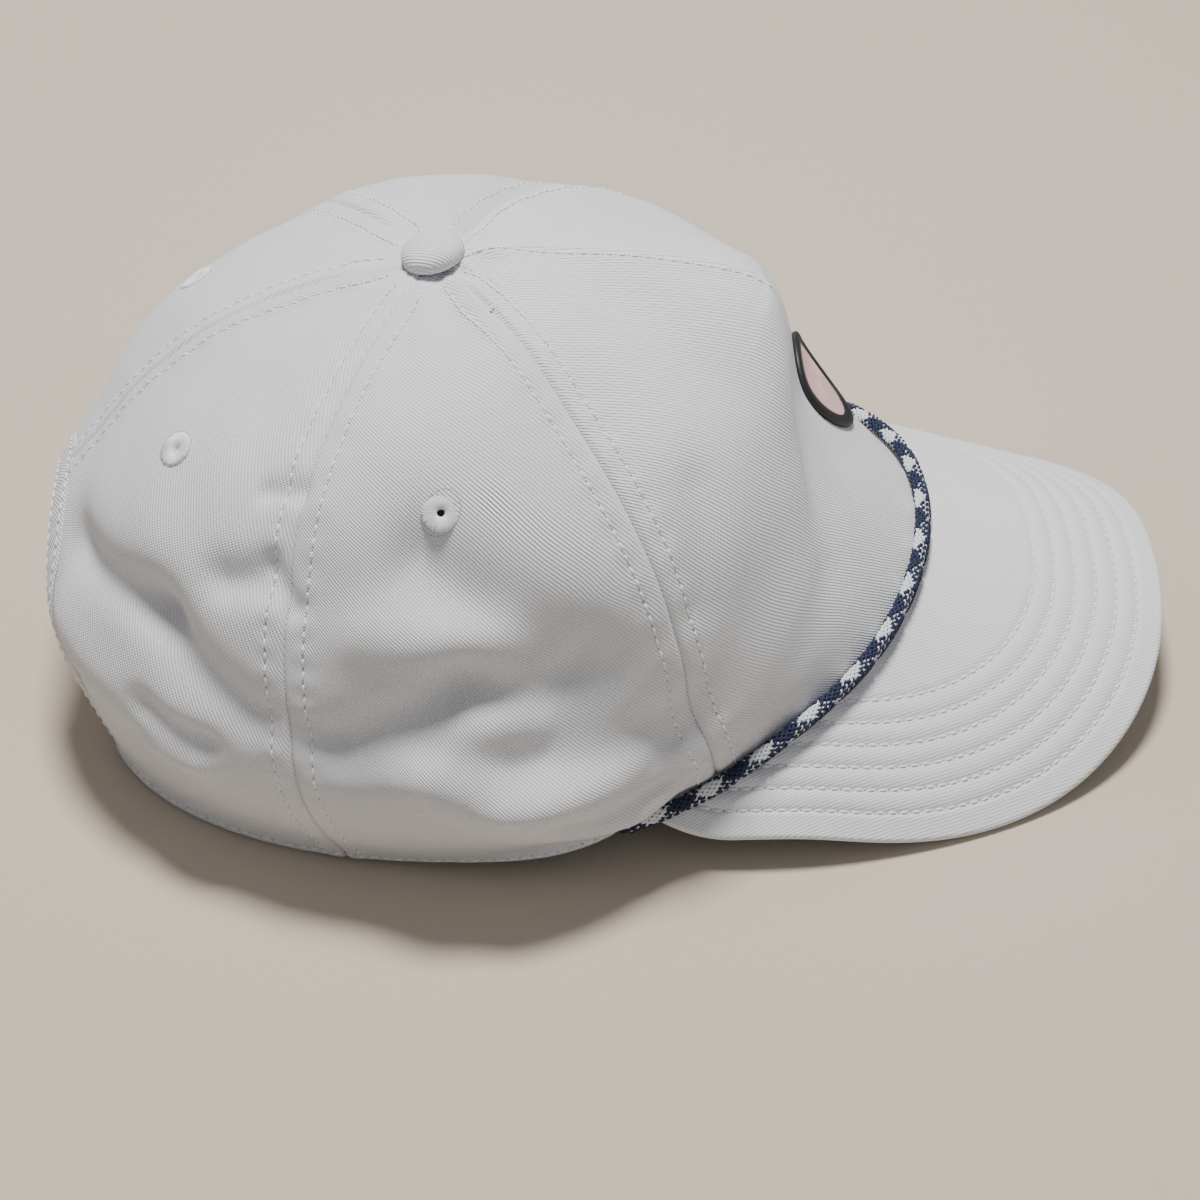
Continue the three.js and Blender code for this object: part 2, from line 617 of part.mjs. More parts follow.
// Rope in the corner between crown and brim, with its ends tucked under the hem behind the brim
function ropePoint(angle) {
  const turn = turnFromFront(angle);
  const reach = ROPE_RADIUS + JOIN_GAP;
  const hem = crownPoint(angle, 0);
  const crownOut = crownNormal(angle, 0.01);
  const brimUp = brimPoint(hem.x, hem.y, -1).sub(brimPoint(hem.x, hem.y, 0));
  const onBrim = crownOut.clone().add(brimUp).multiplyScalar(reach / (1 + crownOut.dot(brimUp)));
  const under = new THREE.Vector3(crownOut.x, crownOut.y, -1).normalize().multiplyScalar(reach);
  const past = smoothstep(turn, CORNER_ANGLE, CORNER_ANGLE + ROPE_PAST_CORNER);
  return hem.add(onBrim.lerp(under, past));
}

const ropeEnd = CORNER_ANGLE + ROPE_PAST_CORNER;
const ropePoints = [];
for (let i = 0; i <= ROPE_STEPS; i += 1) {
  ropePoints.push(ropePoint(ropeEnd * ((2 * i) / ROPE_STEPS - 1)));
}
const ropeSection = new THREE.Shape();
for (let i = 0; i < ROPE_SIDES; i += 1) {
  const turn = (2 * Math.PI * i) / ROPE_SIDES;
  const place = [ROPE_RADIUS * Math.cos(turn), ROPE_RADIUS * Math.sin(turn)];
  if (i === 0) ropeSection.moveTo(...place);
  else ropeSection.lineTo(...place);
}
ropeSection.closePath();
const rope = new THREE.ExtrudeGeometry(ropeSection, {
  steps: ROPE_STEPS,
  bevelEnabled: false,
  extrudePath: new THREE.CatmullRomCurve3(ropePoints),
});
addPiece("rope", mergedCopy(rope), NAVY_ROPE());

// Button on a slant that follows the crown's top, with its shank down through the hole
const frontRim = crownRise(0, levelAtReach(0, BUTTON_RADIUS));
const backRim = crownRise(180, levelAtReach(180, BUTTON_RADIUS));
const buttonLean = Math.atan((frontRim - backRim) / (2 * BUTTON_RADIUS));
let buttonSeat = 0;
for (let i = 0; i < BUTTON_SIDES; i += 1)
  for (const share of SEAT_SHARES) {
    const angle = (360 * i) / BUTTON_SIDES;
    const reach = share * BUTTON_RADIUS;
    const slant = reach * Math.cos(radians(angle)) * Math.tan(buttonLean);
    buttonSeat = Math.max(buttonSeat, crownRise(angle, levelAtReach(angle, reach)) - slant);
  }
const buttonProfile = [
  new THREE.Vector2(0, -SHANK_LENGTH),
  new THREE.Vector2(SHANK_RADIUS, -SHANK_LENGTH),
  new THREE.Vector2(SHANK_RADIUS, 0),
];
for (const { reach, rise } of BUTTON_PROFILE) {
  buttonProfile.push(new THREE.Vector2(reach * BUTTON_RADIUS, rise * BUTTON_HEIGHT));
}
const button = new THREE.LatheGeometry(buttonProfile, BUTTON_SIDES);
button.rotateX(Math.PI / 2 - buttonLean);
button.translate(0, 0, buttonSeat + FIT_GAP);
addPiece("button", mergedCopy(button), WHITE_TWILL());

// Eyelets: a stitched ring on a sleeve through the cloth
const eyeletProfile = [
  new THREE.Vector2(EYELET_HOLE_RADIUS, -CLOTH - FIT_GAP),
  new THREE.Vector2(EYELET_SLEEVE_RADIUS, -CLOTH - FIT_GAP),
  new THREE.Vector2(EYELET_SLEEVE_RADIUS, EYELET_LIFT),
  new THREE.Vector2(EYELET_RADIUS, EYELET_LIFT),
  new THREE.Vector2(EYELET_CREST_OUTER, EYELET_PROUD),
  new THREE.Vector2(EYELET_CREST_INNER, EYELET_PROUD),
  new THREE.Vector2(EYELET_HOLE_RADIUS, EYELET_LIFT),
  new THREE.Vector2(EYELET_HOLE_RADIUS, -CLOTH - FIT_GAP),
];
for (const eyelet of EYELETS) {
  const ring = new THREE.LatheGeometry(eyeletProfile, ROUND_SIDES);
  ring.rotateX(Math.PI / 2);
  addPiece(eyelet.name, mergedCopy(seatOnCrown(ring, eyelet.angle, eyelet.level)), WHITE_THREAD());
}

// Round badge on the front panel: a square grid rounded off, laid on the cloth
const badgeStep = 0.01;
const badgeTop = crownPoint(BADGE_ANGLE, BADGE_LEVEL + badgeStep);
const badgeFoot = crownPoint(BADGE_ANGLE, BADGE_LEVEL - badgeStep);
const lengthPerLevel = badgeTop.distanceTo(badgeFoot) / (2 * badgeStep);
const badge = sheet(BADGE_CELLS, BADGE_CELLS, (u, v, side) => {
  const a = 2 * u - 1;
  const b = 2 * v - 1;
  const across = BADGE_RADIUS * a * Math.sqrt(1 - (b * b) / 2);
  const up = BADGE_RADIUS * b * Math.sqrt(1 - (a * a) / 2);
  const level = BADGE_LEVEL + up / lengthPerLevel;
  const angle = BADGE_ANGLE + degrees(across / crownReach(BADGE_ANGLE, level));
  return wallPoint(angle, level, -BADGE_GAP - (1 - side) * BADGE_THICKNESS);
});
addPiece("front_badge", badge, PINK_TWILL());

// The whole cap with its origin at the middle of its underside
const box = new THREE.Box3().setFromObject(cap);
const middle = box.getCenter(new THREE.Vector3());
cap.position.set(-middle.x, -middle.y, -box.min.z);

export default cap;
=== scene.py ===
import math
import bpy
import numpy as np
from mathutils import Matrix, Vector


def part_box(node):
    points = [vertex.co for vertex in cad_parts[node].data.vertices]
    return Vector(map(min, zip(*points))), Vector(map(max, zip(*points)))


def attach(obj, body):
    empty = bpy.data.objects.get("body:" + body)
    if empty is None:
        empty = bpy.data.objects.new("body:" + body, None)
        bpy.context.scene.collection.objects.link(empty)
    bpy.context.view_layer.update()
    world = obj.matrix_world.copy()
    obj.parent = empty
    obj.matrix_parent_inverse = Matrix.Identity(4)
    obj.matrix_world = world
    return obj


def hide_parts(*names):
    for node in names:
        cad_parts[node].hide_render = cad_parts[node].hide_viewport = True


# Snapback cap: fine cloth surfaces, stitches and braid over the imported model.
# Shapes are worked out in millimetres round the button's axis, with the front towards -Y.

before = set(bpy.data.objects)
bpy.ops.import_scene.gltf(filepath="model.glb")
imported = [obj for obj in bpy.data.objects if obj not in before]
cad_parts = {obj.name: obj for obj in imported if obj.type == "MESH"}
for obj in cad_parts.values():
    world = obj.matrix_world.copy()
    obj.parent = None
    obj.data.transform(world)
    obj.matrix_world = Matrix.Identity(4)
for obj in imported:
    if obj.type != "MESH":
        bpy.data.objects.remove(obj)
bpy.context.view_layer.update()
scene = bpy.context.scene
draw = np.random.default_rng(7)
full = 360.0
radians = np.radians
degrees = np.degrees

# crown, with the same sizes as its solids
crown = {
    "halfLength": 101.0,
    "halfWidth": 84.0,
    "height": 114.5,
    "cloth": 1.4,
    "topHole": 2.8,
    "seamGap": 0.12,
    "hemHold": 2.5,
    "hemDown": 125.0,
    "hemPower": 2.5,
    "hemTurn": 0.06,
    "profileShare": 1.5,
    "foldFade": 0.1,
    "foldGain": 1.3,
    "flare": 1.2,           # the back opening's edge stands outwards
    "flareRun": 7.0,
}
levels = np.array([0, 0.22, 0.5, 0.76, 1])  # hem, belly, shoulder, upper, top
sectionAngles = np.array([0, 25, 50, 80, 110, 145, 180.0])
reachShares = {
    "hem": [1.15, 1.13, 1.07, 1.0, 0.95, 0.93, 0.85],
    "belly": [0.88, 0.98, 1.1, 1.17, 1.12, 1.01, 0.96],
    "shoulder": [0.76, 0.77, 0.9, 1.0, 0.99, 0.89, 0.81],
    "upper": [0.2, 0.25, 0.41, 0.57, 0.65, 0.54, 0.48],
}
riseShares = {
    "belly": [0.59, 0.55, 0.36, 0.26, 0.28, 0.28, 0.33],
    "shoulder": [0.94, 0.84, 0.76, 0.64, 0.59, 0.62, 0.6],
    "upper": [1.03, 1.02, 0.99, 0.93, 0.88, 0.85, 0.88],
}
frontSeam = {"hem": 50.0, "top": 56.0, "bow": 3.4}
backSeam = {"hem": 107.0, "top": 120.0, "bow": 0.2}

# angle, level, end angle, end level, width and height as shares of the crown's height
folds = [
    (93, 0.61, 70, 0.43, 0.075, -0.030),
    (105, 0.34, 87, 0.43, 0.070, -0.030),
    (87, 0.43, 66, 0.38, 0.070, -0.030),
    (74, 0.34, 60, 0.25, 0.100, -0.035),
    (92, 0.30, 64, 0.13, 0.085, 0.030),
    (101, 0.52, 82, 0.49, 0.070, 0.020),
    (160, 0.40, 137, 0.44, 0.070, -0.028),
    (137, 0.44, 118, 0.36, 0.070, -0.028),
    (156, 0.27, 131, 0.27, 0.090, 0.025),
    (121, 0.57, 126, 0.55, 0.050, -0.020),
    (-4, 0.46, 24, 0.16, 0.080, -0.014),
    (-62, 0.28, -92, 0.40, 0.090, -0.026),
    (-70, 0.16, -98, 0.24, 0.085, 0.022),
    (-118, 0.34, -152, 0.42, 0.080, -0.026),
    (-128, 0.24, -156, 0.26, 0.080, 0.020),
    (82, 0.255, 63, 0.235, 0.045, 0.016),
    (74, 0.18, 61, 0.150, 0.040, -0.022),
    (90, 0.345, 77, 0.30, 0.045, -0.010),
    (85, 0.39, 76, 0.355, 0.045, 0.012),
    (135, 0.285, 125, 0.27, 0.040, -0.020),
    (132, 0.21, 126, 0.215, 0.040, 0.014),
    (125, 0.685, 117, 0.70, 0.025, -0.010),
    (119, 0.60, 113, 0.55, 0.028, -0.012),
    (-80, 0.26, -64, 0.25, 0.045, 0.020),
    (-73, 0.18, -58, 0.15, 0.040, -0.020),
    (-135, 0.29, -122, 0.25, 0.045, -0.020),
    (44, 0.50, 51, 0.39, 0.060, -0.010),
]

# relief of the sewn cloth over the smooth solids, in millimetres
relief = {
    "allowance": 0.32,      # how far the folded cloth behind a seam lifts it
    "seamDepth": 0.75,
    "seamWidth": 0.75,
    "rowAway": 4.7,         # stitch rows each side of a seam
    "rowDepth": 0.30,
    "rowWidth": 0.55,
    "pucker": 0.16,
    "puckerPitch": 8.5,
    "puff": 1.1,            # panels swell a little between their seams
    "dartEnd": 0.47,        # level at which the front panel's dart ends
    "hemRoll": 0.45,
    "hemRow": 3.0,          # stitch row over the hem's edge
    "hemFlare": 1.5,
    "cornerFlare": 4.2,     # the hem stands out more beside the rope's ends
    "rumple": 0.34,
}

brimSize = {
    "length": 62.0,
    "halfWidth": 85.6,
    "thickness": 2.4,
    "rootHeight": 39.7,
    "fall": 0.29,
    "rootRadius": 88.0,
    "tipRadius": 81.0,
    "levelRun": 32.0,
    "softRun": 5.0,
    "widestBack": 50.0,
    "cornerRun": 60.0,
    "squareness": 2.5,
    "cornerShare": 0.15,
    "tuck": 2.6,
    "joinGap": 0.5,
}


def curveAt(knots, values, at, lastSlope=None):
    # cubic through the knots whose slopes are the chords over both neighbours
    last = len(knots) - 1
    rise = [(values[i + 1] - values[i]) / (knots[i + 1] - knots[i]) for i in range(last)]
    slopes = [(values[i + 1] - values[i - 1]) / (knots[i + 1] - knots[i - 1]) for i in range(1, last)]
    slopes.insert(0, 1.5 * rise[0] - 0.5 * slopes[0])
    end = 1.5 * rise[-1] - 0.5 * slopes[-1]
    slopes.append(end if lastSlope is None else lastSlope + 0 * end)
    spot = np.clip(np.searchsorted(knots, at, side="right") - 1, 0, last - 1)
    step = np.diff(knots)[spot]
    t = (at - np.asarray(knots)[spot]) / step
    keep = (1 + 2 * t) * (1 - t) ** 2
    out = 0
    for i in range(last):
        here = spot == i
        piece = keep * values[i] + (1 - keep) * values[i + 1]
        piece = piece + t * (1 - t) ** 2 * step * slopes[i] - t * t * (1 - t) * step * slopes[i + 1]
        out = out + np.where(here, piece, 0)
    return out


def smoothstep(x, low, high):
    t = np.clip((x - low) / (high - low), 0, 1)
    return t * t * (3 - 2 * t)


def turnFromFront(angle):
    turn = np.mod(angle, full)
    return np.minimum(turn, full - turn)


def roundCurve(values, angle):
    # the sections repeated mirrored past the front and the back
    v = list(values)
    a = sectionAngles
    knots = np.r_[-a[2], -a[1], a, full - a[-2], full - a[-3]]
    return curveAt(knots, [v[2], v[1]] + v + [v[-2], v[-3]], turnFromFront(angle))


def reachUnit(angle):
    forward = np.cos(radians(angle)) ** 2
    return crown["halfLength"] * forward + crown["halfWidth"] * (1 - forward)


def hemPlan(angle):
    reach = roundCurve(reachShares["hem"], angle) * reachUnit(angle)
    return np.stack([-reach * np.sin(radians(angle)), -reach * np.cos(radians(angle))], -1)


rootY = float(hemPlan(np.array(0.0))[1])
widestY = rootY + brimSize["widestBack"]
tipY = rootY - brimSize["length"]


def brimTop(x, y):
    # level behind the run, then falling forwards, with a soft change between the two
    soft = brimSize["softRun"]
    forward = rootY - y + brimSize["levelRun"]
    forward = soft * np.logaddexp(0, forward / soft) - brimSize["levelRun"]
    share = forward / brimSize["length"]
    bend = (1 - share) / brimSize["rootRadius"] + share / brimSize["tipRadius"]
    return brimSize["rootHeight"] - brimSize["fall"] * forward - bend * x * x / 2


def findCorner():
    inside, outside = 30.0, 85.0
    for _ in range(30):
        angle = (inside + outside) / 2
        x, y = hemPlan(np.array(angle))
        back = max(y - widestY, 0) / brimSize["cornerRun"]
        if (x / brimSize["halfWidth"]) ** 2 + back**2 < 1:
            inside = angle
        else:
            outside = angle
    return inside


cornerAngle = findCorner()


def hemHeight(angle, x, y):
    onBrim = brimTop(x, y) + brimSize["joinGap"]
    start = cornerAngle + crown["hemHold"]
    left = np.clip((crown["hemDown"] - turnFromFront(angle)) / (crown["hemDown"] - start), 0, 1)
    return onBrim * left ** crown["hemPower"]


def crownReach(angle, level):
    unit = reachUnit(angle)
    values = [roundCurve(reachShares[k], angle) * unit for k in ("hem", "belly", "shoulder", "upper")]
    return curveAt(levels, values + [0 * unit], level)


def reachAt(angle, level=0.0):
    return float(crownReach(np.array([float(angle)]), np.array([float(level)]))[0])


def crownPoint(angle, level):
    reach = crownReach(angle, level)
    hem = hemPlan(angle)
    rises = [roundCurve(riseShares[k], angle) * crown["height"] for k in ("belly", "shoulder", "upper")]
    z = curveAt(levels, [hemHeight(angle, hem[..., 0], hem[..., 1])] + rises + [crown["height"]], level, 0)
    return np.stack([-reach * np.sin(radians(angle)), -reach * np.cos(radians(angle)), z], -1)


def crownNormal(angle, level):
    turn, climb = 0.5, 0.004
    across = crownPoint(angle + turn, level) - crownPoint(angle - turn, level)
    above = crownPoint(angle, np.minimum(level + climb, 1 - climb))
    up = above - crownPoint(angle, np.maximum(level - climb, 0))
    normal = np.cross(up, across)
    return normal / np.linalg.norm(normal, axis=-1, keepdims=True)


def seamAngle(seam, level):
    return seam["hem"] + (seam["top"] - seam["hem"]) * level + seam["bow"] * 4 * level * (1 - level)


def foldHeight(angle, level):
    perDegree = math.radians(1) * crown["halfWidth"]
    perLevel = crown["profileShare"] * crown["height"]
    height = 0
    for a, b, toA, toB, width, size in folds:
        turn = np.mod(angle - a + 180, full) - 180
        px, py = turn * perDegree, (level - b) * perLevel
        lx, ly = (toA - a) * perDegree, (toB - b) * perLevel
        along = np.clip((px * lx + py * ly) / (lx * lx + ly * ly), 0, 1)
        away = np.hypot(px - lx * along, py - ly * along) / (width * crown["height"])
        height = height + size * crown["height"] * np.exp(-away * away)
    return height * crown["foldGain"] * smoothstep(level, 0, crown["foldFade"])


def flareHeight(points):
    x, y, z = points[..., 0], points[..., 1], points[..., 2]
    away = (np.hypot(x / 36, z / 52) - 1) * 42
    lift = crown["flare"] * np.exp(-((np.maximum(away, 0) / crown["flareRun"]) ** 2))
    return lift * smoothstep(z, 12, 24) * (y > 0)


rumples = [(draw.uniform(-1, 1), draw.uniform(0.6, 1.6), draw.uniform(0, 6.3)) for _ in range(14)]


def rumpleHeight(angle, level):
    # a sum of slow waves over the cloth, each along its own direction
    px = np.sin(radians(angle)) * crown["halfWidth"]
    py = np.cos(radians(angle)) * crown["halfLength"]
    pz = level * crown["profileShare"] * crown["height"]
    height = 0
    for lean, pace, phase in rumples:
        way = px * np.cos(3 * lean) + py * np.sin(3 * lean) + pz * (1 + lean)
        height = height + np.sin(way * pace / 9 + phase)
    return height * relief["rumple"] / math.sqrt(len(rumples))


def rowOffset(reach):
    return np.minimum(relief["rowAway"], 1.2 + 0.2 * reach)


def seamPlaces(level):
    return [
        seamAngle(frontSeam, level),
        -seamAngle(frontSeam, level),
        seamAngle(backSeam, level),
        -seamAngle(backSeam, level),
        180 + 0 * level,
    ]


def seamRelief(angle, level):
    # ridge of the seam allowance, a groove at the seam and one under each stitch row, with puckers
    reach = crownReach(angle, level)
    row = rowOffset(reach)
    run = level * crown["profileShare"] * crown["height"]
    height = 0
    nearest = np.full(np.shape(angle), 99.0)
    for index, seam in enumerate(seamPlaces(level)):
        away = radians(np.mod(angle - seam + 180, full) - 180) * reach
        nearest = np.minimum(nearest, np.abs(away))
        beside = np.abs(np.abs(away) - row)
        band = 1 - smoothstep(np.abs(away), row, row + 2.2)
        height = height + relief["allowance"] * band
        calm = 1 - 0.7 * smoothstep(level, 0.88, 0.95)
        height = height - calm * relief["seamDepth"] * np.exp(-((away / relief["seamWidth"]) ** 2))
        height = height - calm * relief["rowDepth"] * np.exp(-((beside / relief["rowWidth"]) ** 2))
        wave = np.sin(run * 2 * math.pi / relief["puckerPitch"] + index + 1.3 * np.sin(run / 17 + index))
        height = height + relief["pucker"] * wave * np.exp(-((beside / 2.6) ** 2))
    # dart from the button to the corner at the top of the front
    away = radians(np.mod(angle + 180, full) - 180) * reach
    on = smoothstep(level, relief["dartEnd"], relief["dartEnd"] + 0.04)
    height = height - on * 0.6 * np.exp(-((away / 0.8) ** 2))
    height = height + on * 0.35 * np.exp(-(((away - 2.2) / 1.7) ** 2))
    nearest = np.minimum(nearest, np.abs(away) + 40 * (1 - on))
    top = smoothstep(level, 0.35, 0.62) * (1 - smoothstep(level, 0.9, 0.99))
    height = height + relief["puff"] * top * smoothstep(nearest, 2, 26)
    # rolled hem with its row of stitches, behind the brim
    free = smoothstep(turnFromFront(angle), cornerAngle + 1, cornerAngle + 6)
    roll = relief["hemRoll"] * np.exp(-(((run - 1.5) / 1.3) ** 2)) - 0.5 * np.exp(-((run / 0.45) ** 2))
    groove = 0.32 * np.exp(-(((run - relief["hemRow"]) / 0.55) ** 2))
    waves = 0.12 * np.sin(angle * 1.1) * np.exp(-(((run - 4) / 2.5) ** 2))
    flare = relief["hemFlare"] * np.exp(-((run / 6.5) ** 2))
    beside = (turnFromFront(angle) - cornerAngle - 12) / 13
    flare = flare + relief["cornerFlare"] * np.exp(-(beside**2)) * np.exp(-((run / 4.6) ** 2))
    height = height + free * (roll - groove + waves + flare)
    return height


def wallPoint(angle, level, depth, sewn=1.0):
    # the smooth crown moved along its normal by the folds and the sewn relief, less the depth
    outer = crownPoint(angle, level)
    normal = crownNormal(angle, level)
    lift = foldHeight(angle, level) + flareHeight(outer)
    if sewn:
        rumple = rumpleHeight(angle, level) * smoothstep(level, 0.02, 0.12)
        lift = lift + sewn * (seamRelief(angle, level) + rumple)
    point = outer + normal * (lift - depth)[..., None]
    hem = hemPlan(angle)
    inset = hem - normal[..., :2] * np.asarray(depth)[..., None]
    slant = hemHeight(angle, inset[..., 0], inset[..., 1]) - hemHeight(angle, hem[..., 0], hem[..., 1])
    free = smoothstep(level, 0, crown["hemTurn"])
    point[..., 2] = (outer[..., 2] + slant) * (1 - free) + point[..., 2] * free
    return point


def levelAtReach(angle, reach):
    low = np.full(np.shape(angle), levels[3])
    high = np.ones(np.shape(angle))
    for _ in range(24):
        middle = (low + high) / 2
        far = crownReach(angle, middle) > reach
        low, high = np.where(far, middle, low), np.where(far, high, middle)
    return (low + high) / 2


# the solids were shifted so that the origin lies under the middle of the cap
brimLow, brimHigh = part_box("brim")
shift = np.array([(brimLow.x + brimHigh.x) * 500, brimLow.y * 1000 - tipY, 0.0])


# meshes from arrays
def makePiece(name, points, quads, material, uv=None, tris=None, slots=None, smooth=True):
    points = np.ascontiguousarray((points.reshape(-1, 3) + shift) / 1000)
    loops = quads.reshape(-1)
    starts = np.arange(len(quads)) * 4
    if tris is not None and len(tris):
        starts = np.r_[starts, len(loops) + np.arange(len(tris)) * 3]
        loops = np.r_[loops, tris.reshape(-1)]
    corners = points[quads]
    volume = np.einsum("ij,ij->", corners[:, 0], np.cross(corners[:, 1], corners[:, 2]))
    volume += np.einsum("ij,ij->", corners[:, 0], np.cross(corners[:, 2], corners[:, 3]))
    if volume < 0:
        # turn every face round
        loops = np.r_[quads[:, ::-1].reshape(-1), tris[:, ::-1].reshape(-1) if tris is not None else []]
        loops = loops.astype(np.int64)
    mesh = bpy.data.meshes.new(name)
    mesh.vertices.add(len(points))
    mesh.vertices.foreach_set("co", points.astype(np.float32).ravel())
    mesh.loops.add(len(loops))
    mesh.loops.foreach_set("vertex_index", loops.astype(np.int32))
    mesh.polygons.add(len(starts))
    mesh.polygons.foreach_set("loop_start", starts.astype(np.int32))
    if slots is not None:
        mesh.polygons.foreach_set("material_index", slots.astype(np.int32))
    mesh.update(calc_edges=True)
    mesh.polygons.foreach_set("use_smooth", np.full(len(starts), smooth))
    if uv is not None:
        layer = mesh.uv_layers.new(name="cloth")
        layer.data.foreach_set("uv", uv.reshape(-1, 2)[loops].astype(np.float32).ravel())
    for m in material if isinstance(material, list) else [material]:
        mesh.materials.append(m)
    mesh.validate()
    piece = bpy.data.objects.new(name, mesh)
    scene.collection.objects.link(piece)
    return piece


def finishPiece(piece, slot, *nodes):
    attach(piece, "root")
    if nodes:
        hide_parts(*nodes)


def gridQuads(rows, columns, closedRows=False, closedColumns=False):
    # vertex numbers of the cells of a grid stored row after row
    i = np.arange(rows if closedRows else rows - 1)
    j = np.arange(columns if closedColumns else columns - 1)
    i, j = np.meshgrid(i, j, indexing="ij")
    nextI, nextJ = (i + 1) % rows, (j + 1) % columns
    cells = [i * columns + j, i * columns + nextJ, nextI * columns + nextJ, nextI * columns + j]
    return np.stack(cells, -1).reshape(-1, 4)


def endFans(rows, columns):
    # triangles that close both ends of a closed strip, each round one added middle point
    i = np.arange(rows)
    nextI = (i + 1) % rows
    count = rows * columns
    lastColumn = columns - 1
    near = np.stack([nextI * columns, i * columns, np.full(rows, count)], -1)
    far = np.stack([i * columns + lastColumn, nextI * columns + lastColumn, np.full(rows, count + 1)], -1)
    return np.concatenate([near, far])


def withMiddles(grid):
    # the grid as a list, then the middles of its first and its last column
    return np.concatenate([grid.reshape(-1, 3), grid[:, 0].mean(0)[None], grid[:, -1].mean(0)[None]])


def doubleSheet(outer, inner, keep=None):
    # two grids joined by a wall along every open edge, with the dropped cells left out of both
    rows, columns = outer.shape[:2]
    cells = gridQuads(rows, columns)
    if keep is not None:
        cells = cells[keep.reshape(-1)]
    count = rows * columns
    edges = np.concatenate([cells[:, [k, (k + 1) % 4]] for k in range(4)])
    key = np.sort(edges, 1)
    _, first, times = np.unique(key[:, 0] * count + key[:, 1], return_index=True, return_counts=True)
    rim = edges[first[times == 1]]
    walls = np.stack([rim[:, 1], rim[:, 0], rim[:, 0] + count, rim[:, 1] + count], -1)
    quads = np.concatenate([cells, cells[:, ::-1] + count, walls])
    return np.concatenate([outer.reshape(-1, 3), inner.reshape(-1, 3)]), quads


def tubeAlong(path, sideways, upwards, profile, closedEnds=True):
    # a closed profile carried along a path; the ends are closed by fans
    steps, sides = len(path), len(profile)
    ring = profile[None, :, 0:1] * sideways[:, None] + profile[None, :, 1:2] * upwards[:, None]
    points = (path[:, None] + ring).reshape(-1, 3)
    quads = gridQuads(steps, sides, closedColumns=True)
    tris = None
    if closedEnds:
        points = np.concatenate([points, path[:1], path[-1:]])
        j = np.arange(sides)
        start = np.stack([(j + 1) % sides, j, np.full(sides, steps * sides)], -1)
        base = (steps - 1) * sides
        end = np.stack([base + j, base + (j + 1) % sides, np.full(sides, steps * sides + 1)], -1)
        tris = np.concatenate([start, end])
    return points, quads, tris


def pathFrame(path, up):
    ahead = np.gradient(path, axis=0)
    ahead /= np.linalg.norm(ahead, axis=1, keepdims=True)
    side = np.cross(ahead, up)
    side /= np.linalg.norm(side, axis=1, keepdims=True)
    top = np.cross(side, ahead)
    return ahead, side, top


def resample(path, spacing):
    step = np.linalg.norm(np.diff(path, axis=0), axis=1)
    run = np.r_[0, np.cumsum(step)]
    count = max(int(round(run[-1] / spacing)), 2)
    at = np.linspace(0, run[-1], count + 1)
    return at, run


def stitchRow(path, normals, size, wobble=0.0):
    # one small sausage for each stitch, bent to the cloth, its ends sunk into the holes
    at, run = resample(path, size["pitch"])
    starts = at[:-1]
    length = size["pitch"] - size["gap"]
    bend = np.linspace(0, 1, 5)
    s = starts[:, None] + size["gap"] / 2 + length * bend[None, :]
    centre = np.stack([np.interp(s, run, path[:, k]) for k in range(3)], -1)
    normal = np.stack([np.interp(s, run, normals[:, k]) for k in range(3)], -1)
    normal /= np.linalg.norm(normal, axis=-1, keepdims=True)
    ahead = centre[:, -1:] - centre[:, :1]
    ahead = ahead / np.linalg.norm(ahead, axis=-1, keepdims=True)
    side = np.cross(np.broadcast_to(ahead, normal.shape), normal)
    lean = draw.normal(0, wobble, len(starts))[:, None, None] * (bend[None, :, None] - 0.5)
    arch = np.array([-0.75, 0.35, 0.5, 0.35, -0.75]) * size["radius"]
    thick = np.array([0.55, 1, 1, 1, 0.55]) * size["radius"]
    centre = centre + normal * arch[None, :, None] + side * lean
    turn = np.arange(6) * math.pi / 3
    ring = side[:, :, None] * np.cos(turn)[None, None, :, None]
    ring = ring + normal[:, :, None] * np.sin(turn)[None, None, :, None]
    points = centre[:, :, None] + ring * thick[None, :, None, None]
    count = len(starts)
    cells = gridQuads(5, 6, closedColumns=True)
    quads = (np.arange(count)[:, None, None] * 30 + cells[None]).reshape(-1, 4)
    caps = np.array([[0, 5, 4, 3], [0, 3, 2, 1], [24, 25, 26, 27], [24, 27, 28, 29]])
    capQuads = (np.arange(count)[:, None, None] * 30 + caps[None]).reshape(-1, 4)
    return points.reshape(-1, 3), np.concatenate([quads, capQuads])


def holeShadeRow(path, normals, size):
    # flat dark six-sided specks of painted shade where the thread goes down into the cloth
    at, run = resample(path, size["pitch"])
    centre = np.stack([np.interp(at, run, path[:, k]) for k in range(3)], -1)
    normal = np.stack([np.interp(at, run, normals[:, k]) for k in range(3)], -1)
    normal /= np.linalg.norm(normal, axis=-1, keepdims=True)
    ahead = np.gradient(centre, axis=0)
    ahead /= np.linalg.norm(ahead, axis=-1, keepdims=True)
    side = np.cross(ahead, normal)
    turn = np.arange(6) * math.pi / 3
    spread = size["hole"] * draw.uniform(0.7, 1.15, len(at))[:, None, None]
    ring = side[:, None] * np.cos(turn)[None, :, None] + ahead[:, None] * np.sin(turn)[None, :, None]
    flat = centre[:, None] + ring * spread + normal[:, None] * 0.07
    low = centre[:, None] + ring * spread - normal[:, None] * 0.2
    points = np.concatenate([flat, low], 1)
    cells = np.array([[0, 3, 2, 1], [0, 5, 4, 3], [6, 7, 8, 9], [6, 9, 10, 11]])
    walls = np.array([[j, (j + 1) % 6, (j + 1) % 6 + 6, j + 6] for j in range(6)])
    shape = np.concatenate([cells, walls])
    quads = (np.arange(len(at))[:, None, None] * 12 + shape[None]).reshape(-1, 4)
    return points.reshape(-1, 3), quads


